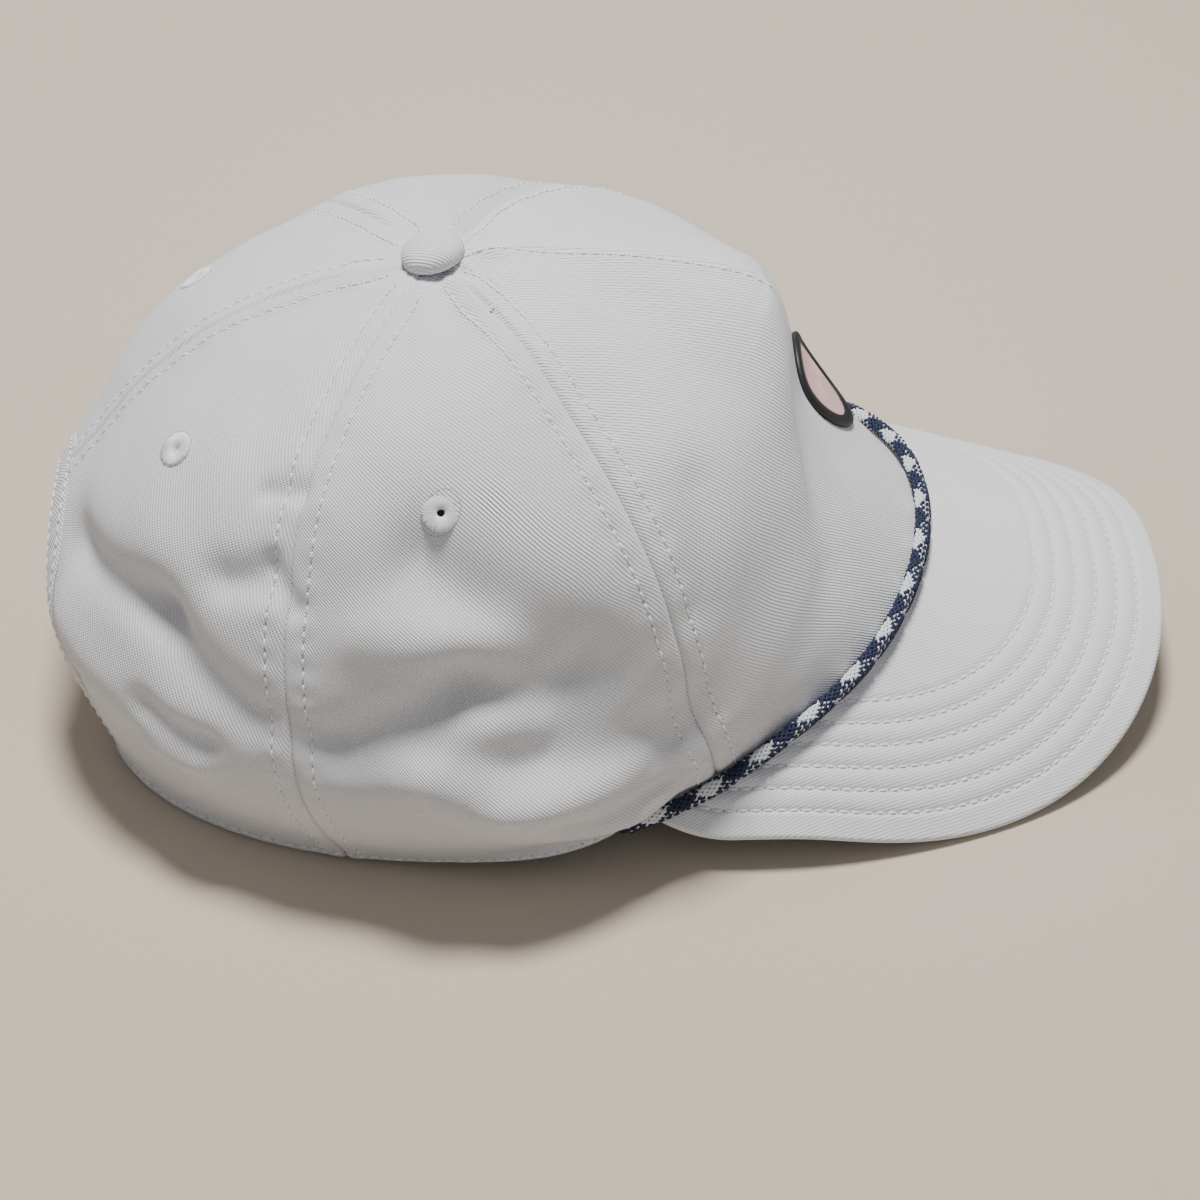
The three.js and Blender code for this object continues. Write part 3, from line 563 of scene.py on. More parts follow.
def joinParts(parts):
    points, quads, offset = [], [], 0
    for p, q in parts:
        points.append(p)
        quads.append(q + offset)
        offset += len(p)
    return np.concatenate(points), np.concatenate(quads)


# materials
def newMaterial(name, color, roughness):
    material = bpy.data.materials.new(name)
    material.use_nodes = True
    shader = material.node_tree.nodes["Principled BSDF"]
    shader.inputs["Base Color"].default_value = (*color, 1)
    shader.inputs["Roughness"].default_value = roughness
    return material, material.node_tree, shader


def mathNode(tree, operation, first, second=None):
    node = tree.nodes.new("ShaderNodeMath")
    node.operation = operation
    for socket, value in zip(node.inputs, (first, second)):
        if value is None:
            continue
        if isinstance(value, (int, float)):
            socket.default_value = value
        else:
            tree.links.new(value, socket)
    return node.outputs[0]


def twillMaterial(name, color, shade, settings):
    # diagonal ribs: a sine of the distance across them, with slubs, a fine cross thread and faint stains, and
    # painted shade that darkens the base colour in the valleys between the ribs
    material, tree, shader = newMaterial(name, color, settings["roughness"])
    uv = tree.nodes.new("ShaderNodeUVMap")
    uv.uv_map = "cloth"
    split = tree.nodes.new("ShaderNodeSeparateXYZ")
    tree.links.new(uv.outputs["UV"], split.inputs[0])
    turn = math.radians(settings["direction"])
    across = mathNode(tree, "MULTIPLY", split.outputs["X"], math.cos(turn))
    across = mathNode(tree, "ADD", across, mathNode(tree, "MULTIPLY", split.outputs["Y"], math.sin(turn)))
    along = mathNode(tree, "MULTIPLY", split.outputs["X"], -math.sin(turn))
    along = mathNode(tree, "ADD", along, mathNode(tree, "MULTIPLY", split.outputs["Y"], math.cos(turn)))
    waver = tree.nodes.new("ShaderNodeTexNoise")
    waver.inputs["Scale"].default_value = settings["waverScale"]
    waver.inputs["Detail"].default_value = 2
    tree.links.new(uv.outputs["UV"], waver.inputs["Vector"])
    bent = mathNode(tree, "ADD", across, mathNode(tree, "MULTIPLY", waver.outputs["Fac"], settings["waver"]))
    rib = mathNode(tree, "SINE", mathNode(tree, "MULTIPLY", bent, 2 * math.pi / settings["pitch"]))
    rib = mathNode(tree, "MULTIPLY_ADD", rib, 0.5)
    rib.node.inputs[2].default_value = 0.5
    cross = mathNode(tree, "SINE", mathNode(tree, "MULTIPLY", along, 2 * math.pi / settings["crossPitch"]))
    slub = tree.nodes.new("ShaderNodeTexNoise")
    slub.inputs["Scale"].default_value = settings["slubScale"]
    slub.inputs["Detail"].default_value = 3
    tree.links.new(uv.outputs["UV"], slub.inputs["Vector"])
    height = mathNode(tree, "ADD", rib, mathNode(tree, "MULTIPLY", cross, settings["cross"]))
    height = mathNode(tree, "ADD", height, mathNode(tree, "MULTIPLY", slub.outputs["Fac"], settings["slub"]))
    bump = tree.nodes.new("ShaderNodeBump")
    bump.inputs["Strength"].default_value = 1
    bump.inputs["Distance"].default_value = settings["depth"]
    tree.links.new(height, bump.inputs["Height"])
    tree.links.new(bump.outputs["Normal"], shader.inputs["Normal"])
    place = tree.nodes.new("ShaderNodeTexCoord")
    cloud = tree.nodes.new("ShaderNodeTexNoise")
    cloud.inputs["Scale"].default_value = 22
    cloud.inputs["Detail"].default_value = 4
    tree.links.new(place.outputs["Object"], cloud.inputs["Vector"])
    # painted shade: the base colour turns towards the shade colour in the rib valleys, plus the random cloud of
    # faint stains
    dark = mathNode(tree, "MULTIPLY", mathNode(tree, "SUBTRACT", 1.0, rib), settings["ribShade"])
    dark = mathNode(tree, "ADD", dark, mathNode(tree, "MULTIPLY", cloud.outputs["Fac"], settings["cloud"]))
    mix = tree.nodes.new("ShaderNodeMix")
    mix.data_type = "RGBA"
    mix.inputs["A"].default_value = (*color, 1)
    mix.inputs["B"].default_value = (*shade, 1)
    tree.links.new(dark, mix.inputs["Factor"])
    tree.links.new(mix.outputs["Result"], shader.inputs["Base Color"])
    shader.inputs["Sheen Weight"].default_value = settings["sheen"]
    shader.inputs["Sheen Roughness"].default_value = 0.5
    return material


def threadMaterial(name, color, roughness, scale=900.0, depth=0.00008):
    # matt thread with a fine noise on Object coordinates
    material, tree, shader = newMaterial(name, color, roughness)
    place = tree.nodes.new("ShaderNodeTexCoord")
    noise = tree.nodes.new("ShaderNodeTexNoise")
    noise.inputs["Scale"].default_value = scale
    noise.inputs["Detail"].default_value = 3
    tree.links.new(place.outputs["Object"], noise.inputs["Vector"])
    bump = tree.nodes.new("ShaderNodeBump")
    bump.inputs["Distance"].default_value = depth
    tree.links.new(noise.outputs["Fac"], bump.inputs["Height"])
    tree.links.new(bump.outputs["Normal"], shader.inputs["Normal"])
    ramp = tree.nodes.new("ShaderNodeMix")
    ramp.data_type = "RGBA"
    ramp.inputs["A"].default_value = (*color, 1)
    ramp.inputs["B"].default_value = (*[c * 0.8 for c in color], 1)
    tree.links.new(noise.outputs["Fac"], ramp.inputs["Factor"])
    tree.links.new(ramp.outputs["Result"], shader.inputs["Base Color"])
    return material


twill = {
    "roughness": 0.92,
    "direction": -45.0,     # degrees from the panel's width to the way across the ribs
    "pitch": 0.80,          # millimetres from rib to rib
    "crossPitch": 0.62,
    "cross": 0.22,
    "waverScale": 0.05,
    "waver": 1.1,
    "slubScale": 1.3,
    "slub": 0.5,
    "depth": 0.00013,
    # painted shade: how far the base colour darkens in the rib valleys
    "ribShade": 0.52,
    "cloud": 0.22,
    "sheen": 0.15,
}
white = (0.82, 0.83, 0.855)
# painted shade colour of the valleys between the twill's ribs
whiteShade = (0.56, 0.56, 0.57)
crownTwill = twillMaterial("crown_twill", white, whiteShade, twill)
brimWeave = {**twill, "direction": 27.5, "pitch": 0.76, "depth": 0.00006, "ribShade": 0.30}
brimTwill = twillMaterial("peak_twill", white, whiteShade, brimWeave)
buttonWeave = {**twill, "direction": -25.0, "depth": 0.00016}
buttonTwill = twillMaterial("button_twill", white, whiteShade, buttonWeave)
bindingTwill = twillMaterial("binding_twill", white, whiteShade, twill)
bandWeave = {**twill, "pitch": 0.6, "depth": 0.00006}
bandCotton = twillMaterial("band_cotton", (0.72, 0.72, 0.73), (0.55, 0.55, 0.56), bandWeave)
whiteThread = threadMaterial("white_thread", (0.90, 0.905, 0.92), 0.6)
# painted shade: this dark grey stands for the shadow inside each needle hole
holeShade = threadMaterial("stitch_hole_shade", (0.42, 0.41, 0.41), 0.95)
navyThread = threadMaterial("navy_thread", (0.009, 0.018, 0.060), 0.72, 1400)
braidWhite = threadMaterial("braid_white", (0.80, 0.82, 0.85), 0.55, 1400)
blackThread = threadMaterial("black_thread", (0.012, 0.012, 0.014), 0.5, 1200)
pinkThread = threadMaterial("pink_thread", (0.80, 0.52, 0.53), 0.55, 1200)
print("materials made")

eyelets = {
    # angle from the front and level of each
    "places": {
        "side_right": (89, 0.66),
        "side_left": (-89, 0.66),
        "back_right": (150, 0.65),
        "back_left": (-150, 0.65),
    },
    "radius": 4.3,
    "hole": 0.85,
    "clothHole": 1.5,
    "proud": 0.62,
}
arch = {"halfWidth": 36.0, "height": 52.0, "band": 8.0, "under": 4.0, "proud": 0.45}
panels = {
    "cell": 0.85,
    "rows": 176,
    "twillPitch": 0.80,
    "grain": {"front": (-27.0, 0.76), "side": (-37.0, 0.70), "back": (-43.0, 0.79)},  # direction and pitch
    "frontTurn": (57.0, 96.0, 0.85),  # on the front the ribs turn along the dart between these heights
    "front_panel": (lambda v: -seamAngle(frontSeam, v), lambda v: seamAngle(frontSeam, v), 2),
    "side_panel_right": (lambda v: seamAngle(frontSeam, v), lambda v: seamAngle(backSeam, v), 1),
    "side_panel_left": (lambda v: -seamAngle(backSeam, v), lambda v: -seamAngle(frontSeam, v), 1),
    "back_panel_right": (lambda v: seamAngle(backSeam, v), lambda v: 180 + 0 * v, 1),
    "back_panel_left": (lambda v: 180 + 0 * v, lambda v: full - seamAngle(backSeam, v), 1),
}


def eyeletAway(points, name):
    angle, level = eyelets["places"][name]
    seat = wallPoint(np.array([float(angle)]), np.array([float(level)]), np.zeros(1), 0)[0]
    return np.linalg.norm(points - seat, axis=-1)


def twillPlace(name, across, up):
    # turned and scaled so that one cloth material gives every panel its own grain
    direction, pitch = panels["grain"][name.split("_")[0]]
    if name == "front_panel":
        low, high, share = panels["frontTurn"]
        fine = np.linspace(0, 260, 521)
        slower = 1 - share * smoothstep(fine, low, high)
        up = np.interp(up, fine, np.cumsum(slower) * 0.5)
    turn = math.radians(-direction - 45)
    scale = panels["twillPitch"] / pitch
    newAcross = across * math.cos(turn) - up * math.sin(turn)
    newUp = across * math.sin(turn) + up * math.cos(turn)
    return np.stack([newAcross, newUp], -1) * scale


def makePanel(name):
    # columns run from seam to seam and lie closer at the seams; rows run from the hem to the button
    start, end, dense = panels[name]
    width = float(end(0.2) - start(0.2)) * math.radians(1) * 100
    columns = int(width / panels["cell"] * (0.86 if name.endswith("left") else 1))
    u = np.linspace(0, 1, columns + 1)
    u = u - 0.42 * np.sin(2 * math.pi * dense * u) / (2 * math.pi * dense)
    v = np.linspace(0, 1, panels["rows"] + 1)
    v = 0.55 * v + 0.45 * v * v
    top = start(1.0) * (1 - u) + end(1.0) * u
    u, v, top = u[None, :], v[:, None], top[None, :]
    level = v * levelAtReach(top, crown["topHole"])
    inset = degrees(crown["seamGap"] / 2 / crownReach(top, level))
    angle = (start(level) + inset) * (1 - u) + (end(level) - inset) * u
    outer = wallPoint(angle, level, np.zeros_like(level))
    inner = wallPoint(angle, level, np.full_like(level, crown["cloth"]), 0.5)
    # cloth coordinates: distance from the middle column and from the hem
    acrossStep = np.linalg.norm(np.diff(outer, axis=1), axis=2)
    runAcross = np.concatenate([np.zeros((len(v), 1)), np.cumsum(acrossStep, 1)], 1)
    runAcross -= runAcross[:, [columns // 2]]
    upStep = np.linalg.norm(np.diff(outer[:, columns // 2], axis=0), axis=1)
    runUp = np.broadcast_to(np.r_[0, np.cumsum(upStep)][:, None], runAcross.shape)
    uv = twillPlace(name, runAcross, runUp)
    centre = (outer[:-1, :-1] + outer[1:, 1:]) / 2
    keep = np.ones(centre.shape[:2], bool)
    short = name.replace("_panel", "")
    if short in eyelets["places"]:
        keep &= eyeletAway(centre, short) > eyelets["clothHole"]
    if name.startswith("back"):
        reachX = arch["halfWidth"] + arch["under"]
        reachZ = arch["height"] + arch["under"]
        keep &= (centre[..., 0] / reachX) ** 2 + (centre[..., 2] / reachZ) ** 2 > 1
    points, quads = doubleSheet(outer, inner, keep)
    piece = makePiece(name + "_cloth", points, quads, crownTwill, np.concatenate([uv.reshape(-1, 2)] * 2))
    finishPiece(piece, "crown_twill", name)


for panelName in [name for name in panels if "panel" in name]:
    makePanel(panelName)
print("crown panels made")

# stitches of the crown
stitch = {"pitch": 3.0, "gap": 0.7, "radius": 0.31, "hole": 0.27}


def crownPath(angle, level, lift=0.0):
    normal = crownNormal(angle, level)
    return wallPoint(angle, level, np.zeros_like(level)) + normal * lift, normal


def crownRows():
    rows = []
    for seam in ({**frontSeam, "low": 0.012}, {**backSeam, "low": 0.03}):
        for side in (1, -1):
            for beside in (1, -1):
                level = np.linspace(seam["low"], 0.95, 500)
                line = side * seamAngle(seam, level)
                reach = crownReach(line, level)
                rows.append((line + beside * degrees(rowOffset(reach) / reach), level))
    for beside in (1, -1):
        level = np.linspace(0.40, 0.95, 400)
        line = 180 + 0 * level
        reach = crownReach(line, level)
        rows.append((line + beside * degrees(rowOffset(reach) / reach), level))
    level = np.linspace(relief["dartEnd"] + 0.01, 0.95, 300)
    reach = crownReach(0 * level, level)
    rows.append((degrees(1.7 / reach), level))
    return rows


parts, specks = [], []
for angle, level in crownRows():
    path, normal = crownPath(angle, level)
    parts.append(stitchRow(path, normal, stitch, 0.10))
    specks.append(holeShadeRow(path, normal, stitch))
archEdge = 180 - float(degrees(np.arcsin((arch["halfWidth"] + arch["band"]) / 84)))
for side in (1, -1):
    angle = side * np.linspace(cornerAngle + 3, archEdge, 700)
    level = np.full_like(angle, relief["hemRow"] / (crown["profileShare"] * crown["height"]))
    path, normal = crownPath(angle, level)
    parts.append(stitchRow(path, normal, stitch, 0.10))
    specks.append(holeShadeRow(path, normal, stitch))
# a loose thread end beside the front seam
loose = np.linspace(0, 1, 60)
path, normal = crownPath(55.6 + 2.6 * loose, 0.852 + 0.006 * np.sin(3 * loose))
parts.append(stitchRow(path + normal * 0.35, normal, {"pitch": 1.6, "gap": 0.1, "radius": 0.36}, 0.3))
points, quads = joinParts(parts)
finishPiece(makePiece("crown_stitches", points, quads, whiteThread), "crown_twill")
# the crown's needle holes as specks of painted shade
points, quads = joinParts(specks)
finishPiece(makePiece("crown_stitch_hole_shade", points, quads, holeShade), "crown_twill")
print("crown stitches made")

# bound edge of the back opening


def backWallAt(x, z, depth):
    # the wall's place at a given distance across and height, found by halving the level
    low = np.zeros_like(x)
    high = np.full_like(x, levels[3])
    angle = 180 + 0 * x
    for _ in range(22):
        level = (low + high) / 2
        angle = 180 + 0 * x
        for _ in range(5):
            point = wallPoint(angle, level, depth, 0)
            reach = np.hypot(point[..., 0], point[..., 1])
            angle = angle + degrees(np.arcsin(np.clip(x / reach, -1, 1)) - np.arcsin(point[..., 0] / reach))
        below = point[..., 2] < z
        low, high = np.where(below, level, low), np.where(below, high, level)
    point[..., 0] = x
    point[..., 2] = z
    return point


def makeBinding():
    # a flat loop of tape: out over the edge, across its rounded lip and back on the inner face
    turn = np.linspace(0, math.pi, 200)
    section = np.array([
        [1.0, 0.02], [0.985, 0.5], [0.96, 0.9], [0.90, 1.0], [0.84, 0.72], [0.78, 0.95], [0.6, 1.0],
        [0.4, 1.0],
        [0.24, 0.95], [0.18, 0.70], [0.12, 0.98], [0.05, 0.8], [0.0, 0.1], [-0.03, -0.5], [0.0, -1.1],
        [0.05, -1.6], [0.5, -1.7], [0.95, -1.6], [1.0, -1.2],
    ])
    share, rise = section[:, 0][:, None], section[:, 1][:, None]
    x = (arch["halfWidth"] + arch["band"] * share) * -np.cos(turn)[None]
    z = np.maximum((arch["height"] + arch["band"] * share) * np.sin(turn)[None], 0)
    proud = arch["proud"] + 0.07 * np.sin(turn * 47)[None] * (np.abs(share - 0.5) < 0.4)
    depth = np.where(rise > 0, -rise * proud, -rise * (crown["cloth"] + arch["proud"]) / 1.7)
    grid = backWallAt(x, z, depth)
    rows, columns = grid.shape[:2]
    count = len(turn)
    points = withMiddles(grid)
    quads = gridQuads(rows, columns, closedRows=True)
    i = np.arange(rows)
    nextI = (i + 1) % rows
    foot = np.stack([i * count, nextI * count, np.full(rows, rows * count)], -1)
    lastColumn = count - 1
    other = np.stack([nextI * count + lastColumn, i * count + lastColumn, np.full(rows, rows * count + 1)], -1)
    run = np.r_[0, np.cumsum(np.linalg.norm(np.diff(grid[6], axis=0), axis=1))]
    around = np.r_[0, np.cumsum(np.linalg.norm(np.diff(grid[:, 100], axis=0), axis=1))]
    uv = np.stack(np.broadcast_arrays(run[None], around[:, None]), -1).reshape(-1, 2)
    uv = np.concatenate([uv, np.zeros((2, 2))])
    piece = makePiece("arch_binding_tape", points, quads, bindingTwill, uv, np.concatenate([foot, other]))
    finishPiece(piece, "binding_twill", "arch_binding")
    rowParts = []
    for rowShare in (0.155, 0.845):
        across = arch["band"] * rowShare
        fine = np.linspace(0.03, math.pi - 0.03, 300)
        x = -(arch["halfWidth"] + across) * np.cos(fine)
        z = (arch["height"] + across) * np.sin(fine)
        path = backWallAt(x, z, np.full_like(fine, -0.8 * arch["proud"]))
        outwards = np.stack([path[:, 0], path[:, 1], 0 * path[:, 2]], -1)
        outwards /= np.linalg.norm(outwards, axis=1, keepdims=True)
        rowParts.append(stitchRow(path, outwards, stitch, 0.08))
    stitches, cells = joinParts(rowParts)
    finishPiece(makePiece("arch_stitches", stitches, cells, whiteThread), "binding_twill")


makeBinding()
print("back opening made")

# brim


def brimNormal(x, y):
    step = 0.5
    across = (brimTop(x + step, y) - brimTop(x - step, y)) / (2 * step)
    fore = (brimTop(x, y + step) - brimTop(x, y - step)) / (2 * step)
    normal = np.stack([-across, -fore, 1 + 0 * across], -1)
    return normal / np.linalg.norm(normal, axis=-1, keepdims=True)


cornerTurn = math.asin((float(hemPlan(np.array(cornerAngle))[1]) - widestY) / brimSize["cornerRun"])


def brimOutline(along):
    # a squared half ellipse round the front, then an ellipse back to the corner
    side = np.sign(along)
    share = np.abs(along) / (1 - brimSize["cornerShare"])
    turn = np.clip(share, 0, 1) * math.pi / 2
    power = 2 / brimSize["squareness"]
    x = brimSize["halfWidth"] * np.sin(turn) ** power
    y = widestY + (tipY - widestY) * np.maximum(np.cos(turn), 0) ** power
    back = np.maximum(np.abs(along) - 1 + brimSize["cornerShare"], 0) / brimSize["cornerShare"] * cornerTurn
    x = np.where(share > 1, brimSize["halfWidth"] * np.cos(back), x)
    y = np.where(share > 1, widestY + brimSize["cornerRun"] * np.sin(back), y)
    return np.stack([side * x, y], -1)


brimLook = {
    "rows": 6,
    "firstRow": 7.0,        # of the stitch rows, from the edge
    "rowGap": 5.4,
    "rowDepth": 0.34,
    "rowWidth": 0.6,
    "puff": 0.14,
    "columns": 330,
    "cells": 84,
    "rumple": 0.10,
}
flatX = np.linspace(-brimSize["halfWidth"] * 1.05, brimSize["halfWidth"] * 1.05, 801)
meanBend = 2 / (brimSize["rootRadius"] + brimSize["tipRadius"])
flatSlope = meanBend * (flatX[1:] + flatX[:-1]) / 2
flatRun = np.concatenate([[0], np.cumsum(np.sqrt(1 + flatSlope**2) * np.diff(flatX))])
flatRun -= flatRun[400]
slantRun = math.hypot(1, brimSize["fall"])


def brimFlat(xy):
    return np.stack([np.interp(xy[..., 0], flatX, flatRun), xy[..., 1] * slantRun], -1)


def brimUnflat(flat):
    return np.stack([np.interp(flat[..., 0], flatRun, flatX), flat[..., 1] / slantRun], -1)


evenAlong = np.linspace(-1, 1, 4001)
evenFlat = brimFlat(brimOutline(evenAlong))
evenRun = np.r_[0, np.cumsum(np.linalg.norm(np.diff(evenFlat, axis=0), axis=1))]


def outlineAtRun(run):
    return brimOutline(np.interp(run, evenRun, evenAlong))


rimRun = np.linspace(0, evenRun[-1], 700)
rimFlat = brimFlat(outlineAtRun(rimRun))


def edgeAway(xy):
    # shortest way to the brim's outline, measured on the flattened brim
    flat = brimFlat(xy).reshape(-1, 2)
    away = np.empty(len(flat))
    for part in np.array_split(np.arange(len(flat)), 40):
        gap = flat[part][:, None] - rimFlat[None]
        away[part] = np.sqrt((gap**2).sum(-1).min(1))
    return away.reshape(xy.shape[:-1])


def brimRelief(xy, away):
    # a groove under each stitch row, puffed cloth between them and a faint wave
    height = 0 * away
    inner = brimLook["firstRow"] + (brimLook["rows"] - 1) * brimLook["rowGap"]
    between = np.cos(2 * math.pi * (away - brimLook["firstRow"]) / brimLook["rowGap"])
    inside = smoothstep(away, brimLook["firstRow"] - 2, brimLook["firstRow"])
    inside = inside * (1 - smoothstep(away, inner, inner + 3))
    height = height - brimLook["puff"] * between * inside
    for k in range(brimLook["rows"]):
        gap = away - brimLook["firstRow"] - k * brimLook["rowGap"]
        height = height - brimLook["rowDepth"] * np.exp(-((gap / brimLook["rowWidth"]) ** 2))
    wave = np.sin(xy[..., 0] / 7.3 + 0.6 * np.sin(xy[..., 1] / 11)) * np.sin(xy[..., 1] / 9.1 + 1.2)
    return height + brimLook["rumple"] * wave * smoothstep(away, 2, 8)


def brimSurface(xy, depth):
    x, y = xy[..., 0], xy[..., 1]
    return np.stack([x, y, brimTop(x, y)], -1) - brimNormal(x, y) * np.asarray(depth)[..., None]


def makeBrim():
    run = np.linspace(0, evenRun[-1], brimLook["columns"] + 1)
    along = np.interp(run, evenRun, evenAlong)
    outer = brimOutline(along)
    hem = hemPlan(-along * cornerAngle)
    length = np.linalg.norm(hem, axis=-1, keepdims=True)
    inner = hem * (length - brimSize["tuck"]) / length
    v = np.linspace(0, 1, brimLook["cells"] + 1)
    v = (v - 0.25 * v * v) / 0.75  # rows lie closer at the edge
    toEdge = outer - inner
    thick = brimSize["thickness"]
    edge = thick / 2
    # the last rows turn round the edge on a half circle
    gapToEdge = np.linalg.norm(toEdge, axis=-1)
    stop = 1 - edge / np.maximum(gapToEdge, 4 * edge)
    flatPlace = inner[None] + toEdge[None] * (v[:, None] * stop[None])[..., None]
    away = edgeAway(flatPlace)
    topGrid = brimSurface(flatPlace, -brimRelief(flatPlace, away))
    lowGrid = brimSurface(flatPlace, thick + brimRelief(flatPlace, away) * 0.8)
    turn = np.linspace(0, math.pi, 9)[1:-1]
    reach = stop[None] + (1 - stop[None]) * np.sin(turn)[:, None]
    edgePlace = inner[None] + toEdge[None] * reach[..., None]
    edgeDepth = np.broadcast_to((edge - edge * np.cos(turn))[:, None], reach.shape)
    edgeGrid = brimSurface(edgePlace, edgeDepth)
    grid = np.concatenate([topGrid, edgeGrid, lowGrid[::-1]])
    rows, columns = grid.shape[:2]
    quads = gridQuads(rows, columns, closedRows=True)
    flat = brimFlat(np.concatenate([flatPlace, edgePlace, flatPlace[::-1]]))
    # its two short ends at the corners are tucked under the hem
    points = withMiddles(grid)
    uv = np.concatenate([flat.reshape(-1, 2), np.zeros((2, 2))])
    piece = makePiece("brim_cloth", points, quads, brimTwill, uv, endFans(rows, columns))
    finishPiece(piece, "peak_twill", "brim")


def brimRows():
    # each row is the outline moved inwards, kept where it lies ahead of the crown
    ahead = np.gradient(rimFlat, axis=0)
    ahead /= np.linalg.norm(ahead, axis=1, keepdims=True)
    inwards = np.stack([ahead[:, 1], -ahead[:, 0]], -1)
    if np.dot(inwards[350], [0, 1]) < 0:
        inwards = -inwards
    parts, specks = [], []
    for k in range(brimLook["rows"]):
        gap = brimLook["firstRow"] + k * brimLook["rowGap"]
        place = brimUnflat(rimFlat + inwards * gap)
        clear = edgeAway(place) > gap - 0.25
        angle = degrees(np.arctan2(-place[:, 0], -place[:, 1]))
        hem = hemPlan(angle)
        outside = np.linalg.norm(place, axis=1) > np.linalg.norm(hem, axis=1) + 1.2
        place = place[clear & outside & (np.abs(angle) < cornerAngle + 3)]
        path = brimSurface(place, -brimRelief(place, edgeAway(place)))
        normal = brimNormal(place[:, 0], place[:, 1])
        parts.append(stitchRow(path, normal, stitch, 0.10))
        specks.append(holeShadeRow(path, normal, stitch))
        lowPath = brimSurface(place, brimSize["thickness"] + 0.8 * brimRelief(place, edgeAway(place)))
        parts.append(stitchRow(lowPath, -normal, stitch, 0.10))
    return parts, specks


makeBrim()
brimStitchParts, brimSpeckParts = brimRows()
points, quads = joinParts(brimStitchParts)
finishPiece(makePiece("brim_stitches", points, quads, whiteThread), "peak_twill")
# the brim's needle holes as specks of painted shade
points, quads = joinParts(brimSpeckParts)
finishPiece(makePiece("brim_stitch_hole_shade", points, quads, holeShade), "peak_twill")
print("brim made")

# rope
ropeLook = {
    "radius": 2.0,
    "pastCorner": 4.0,
    "strands": 8,           # each way round
    "white": 4,             # of them, each way
    "pitch": 14.8,          # length of one turn of a strand
    "strandWidth": 0.78,
    "strandThick": 0.34,
    "weave": 0.17,
    "whiteDrop": 0.28,
    "navyEnd": 3.2,         # at both ends every strand is navy
    "tieRadius": 0.30,
    "tieTurn": 2.75,
    "tiePinch": 0.15,
}


def ropeCentre():
    # in the corner between crown and brim, then down under the hem behind the brim
    end = cornerAngle + ropeLook["pastCorner"]
    angle = np.linspace(-end, end, 900)
    reach = ropeLook["radius"] + brimSize["joinGap"]
    hem = crownPoint(angle, 0 * angle)
    out = crownNormal(angle, 0 * angle + 0.01)
    up = brimNormal(hem[:, 0], hem[:, 1])
    onBrim = (out + up) * (reach / (1 + (out * up).sum(1)))[:, None]
    under = np.stack([out[:, 0], out[:, 1], 0 * angle - 1], -1)
    under = under / np.linalg.norm(under, axis=1, keepdims=True) * reach
    past = smoothstep(turnFromFront(angle), cornerAngle, end)[:, None]
    return hem + onBrim * (1 - past) + under * past, out * (1 - past) + up * past


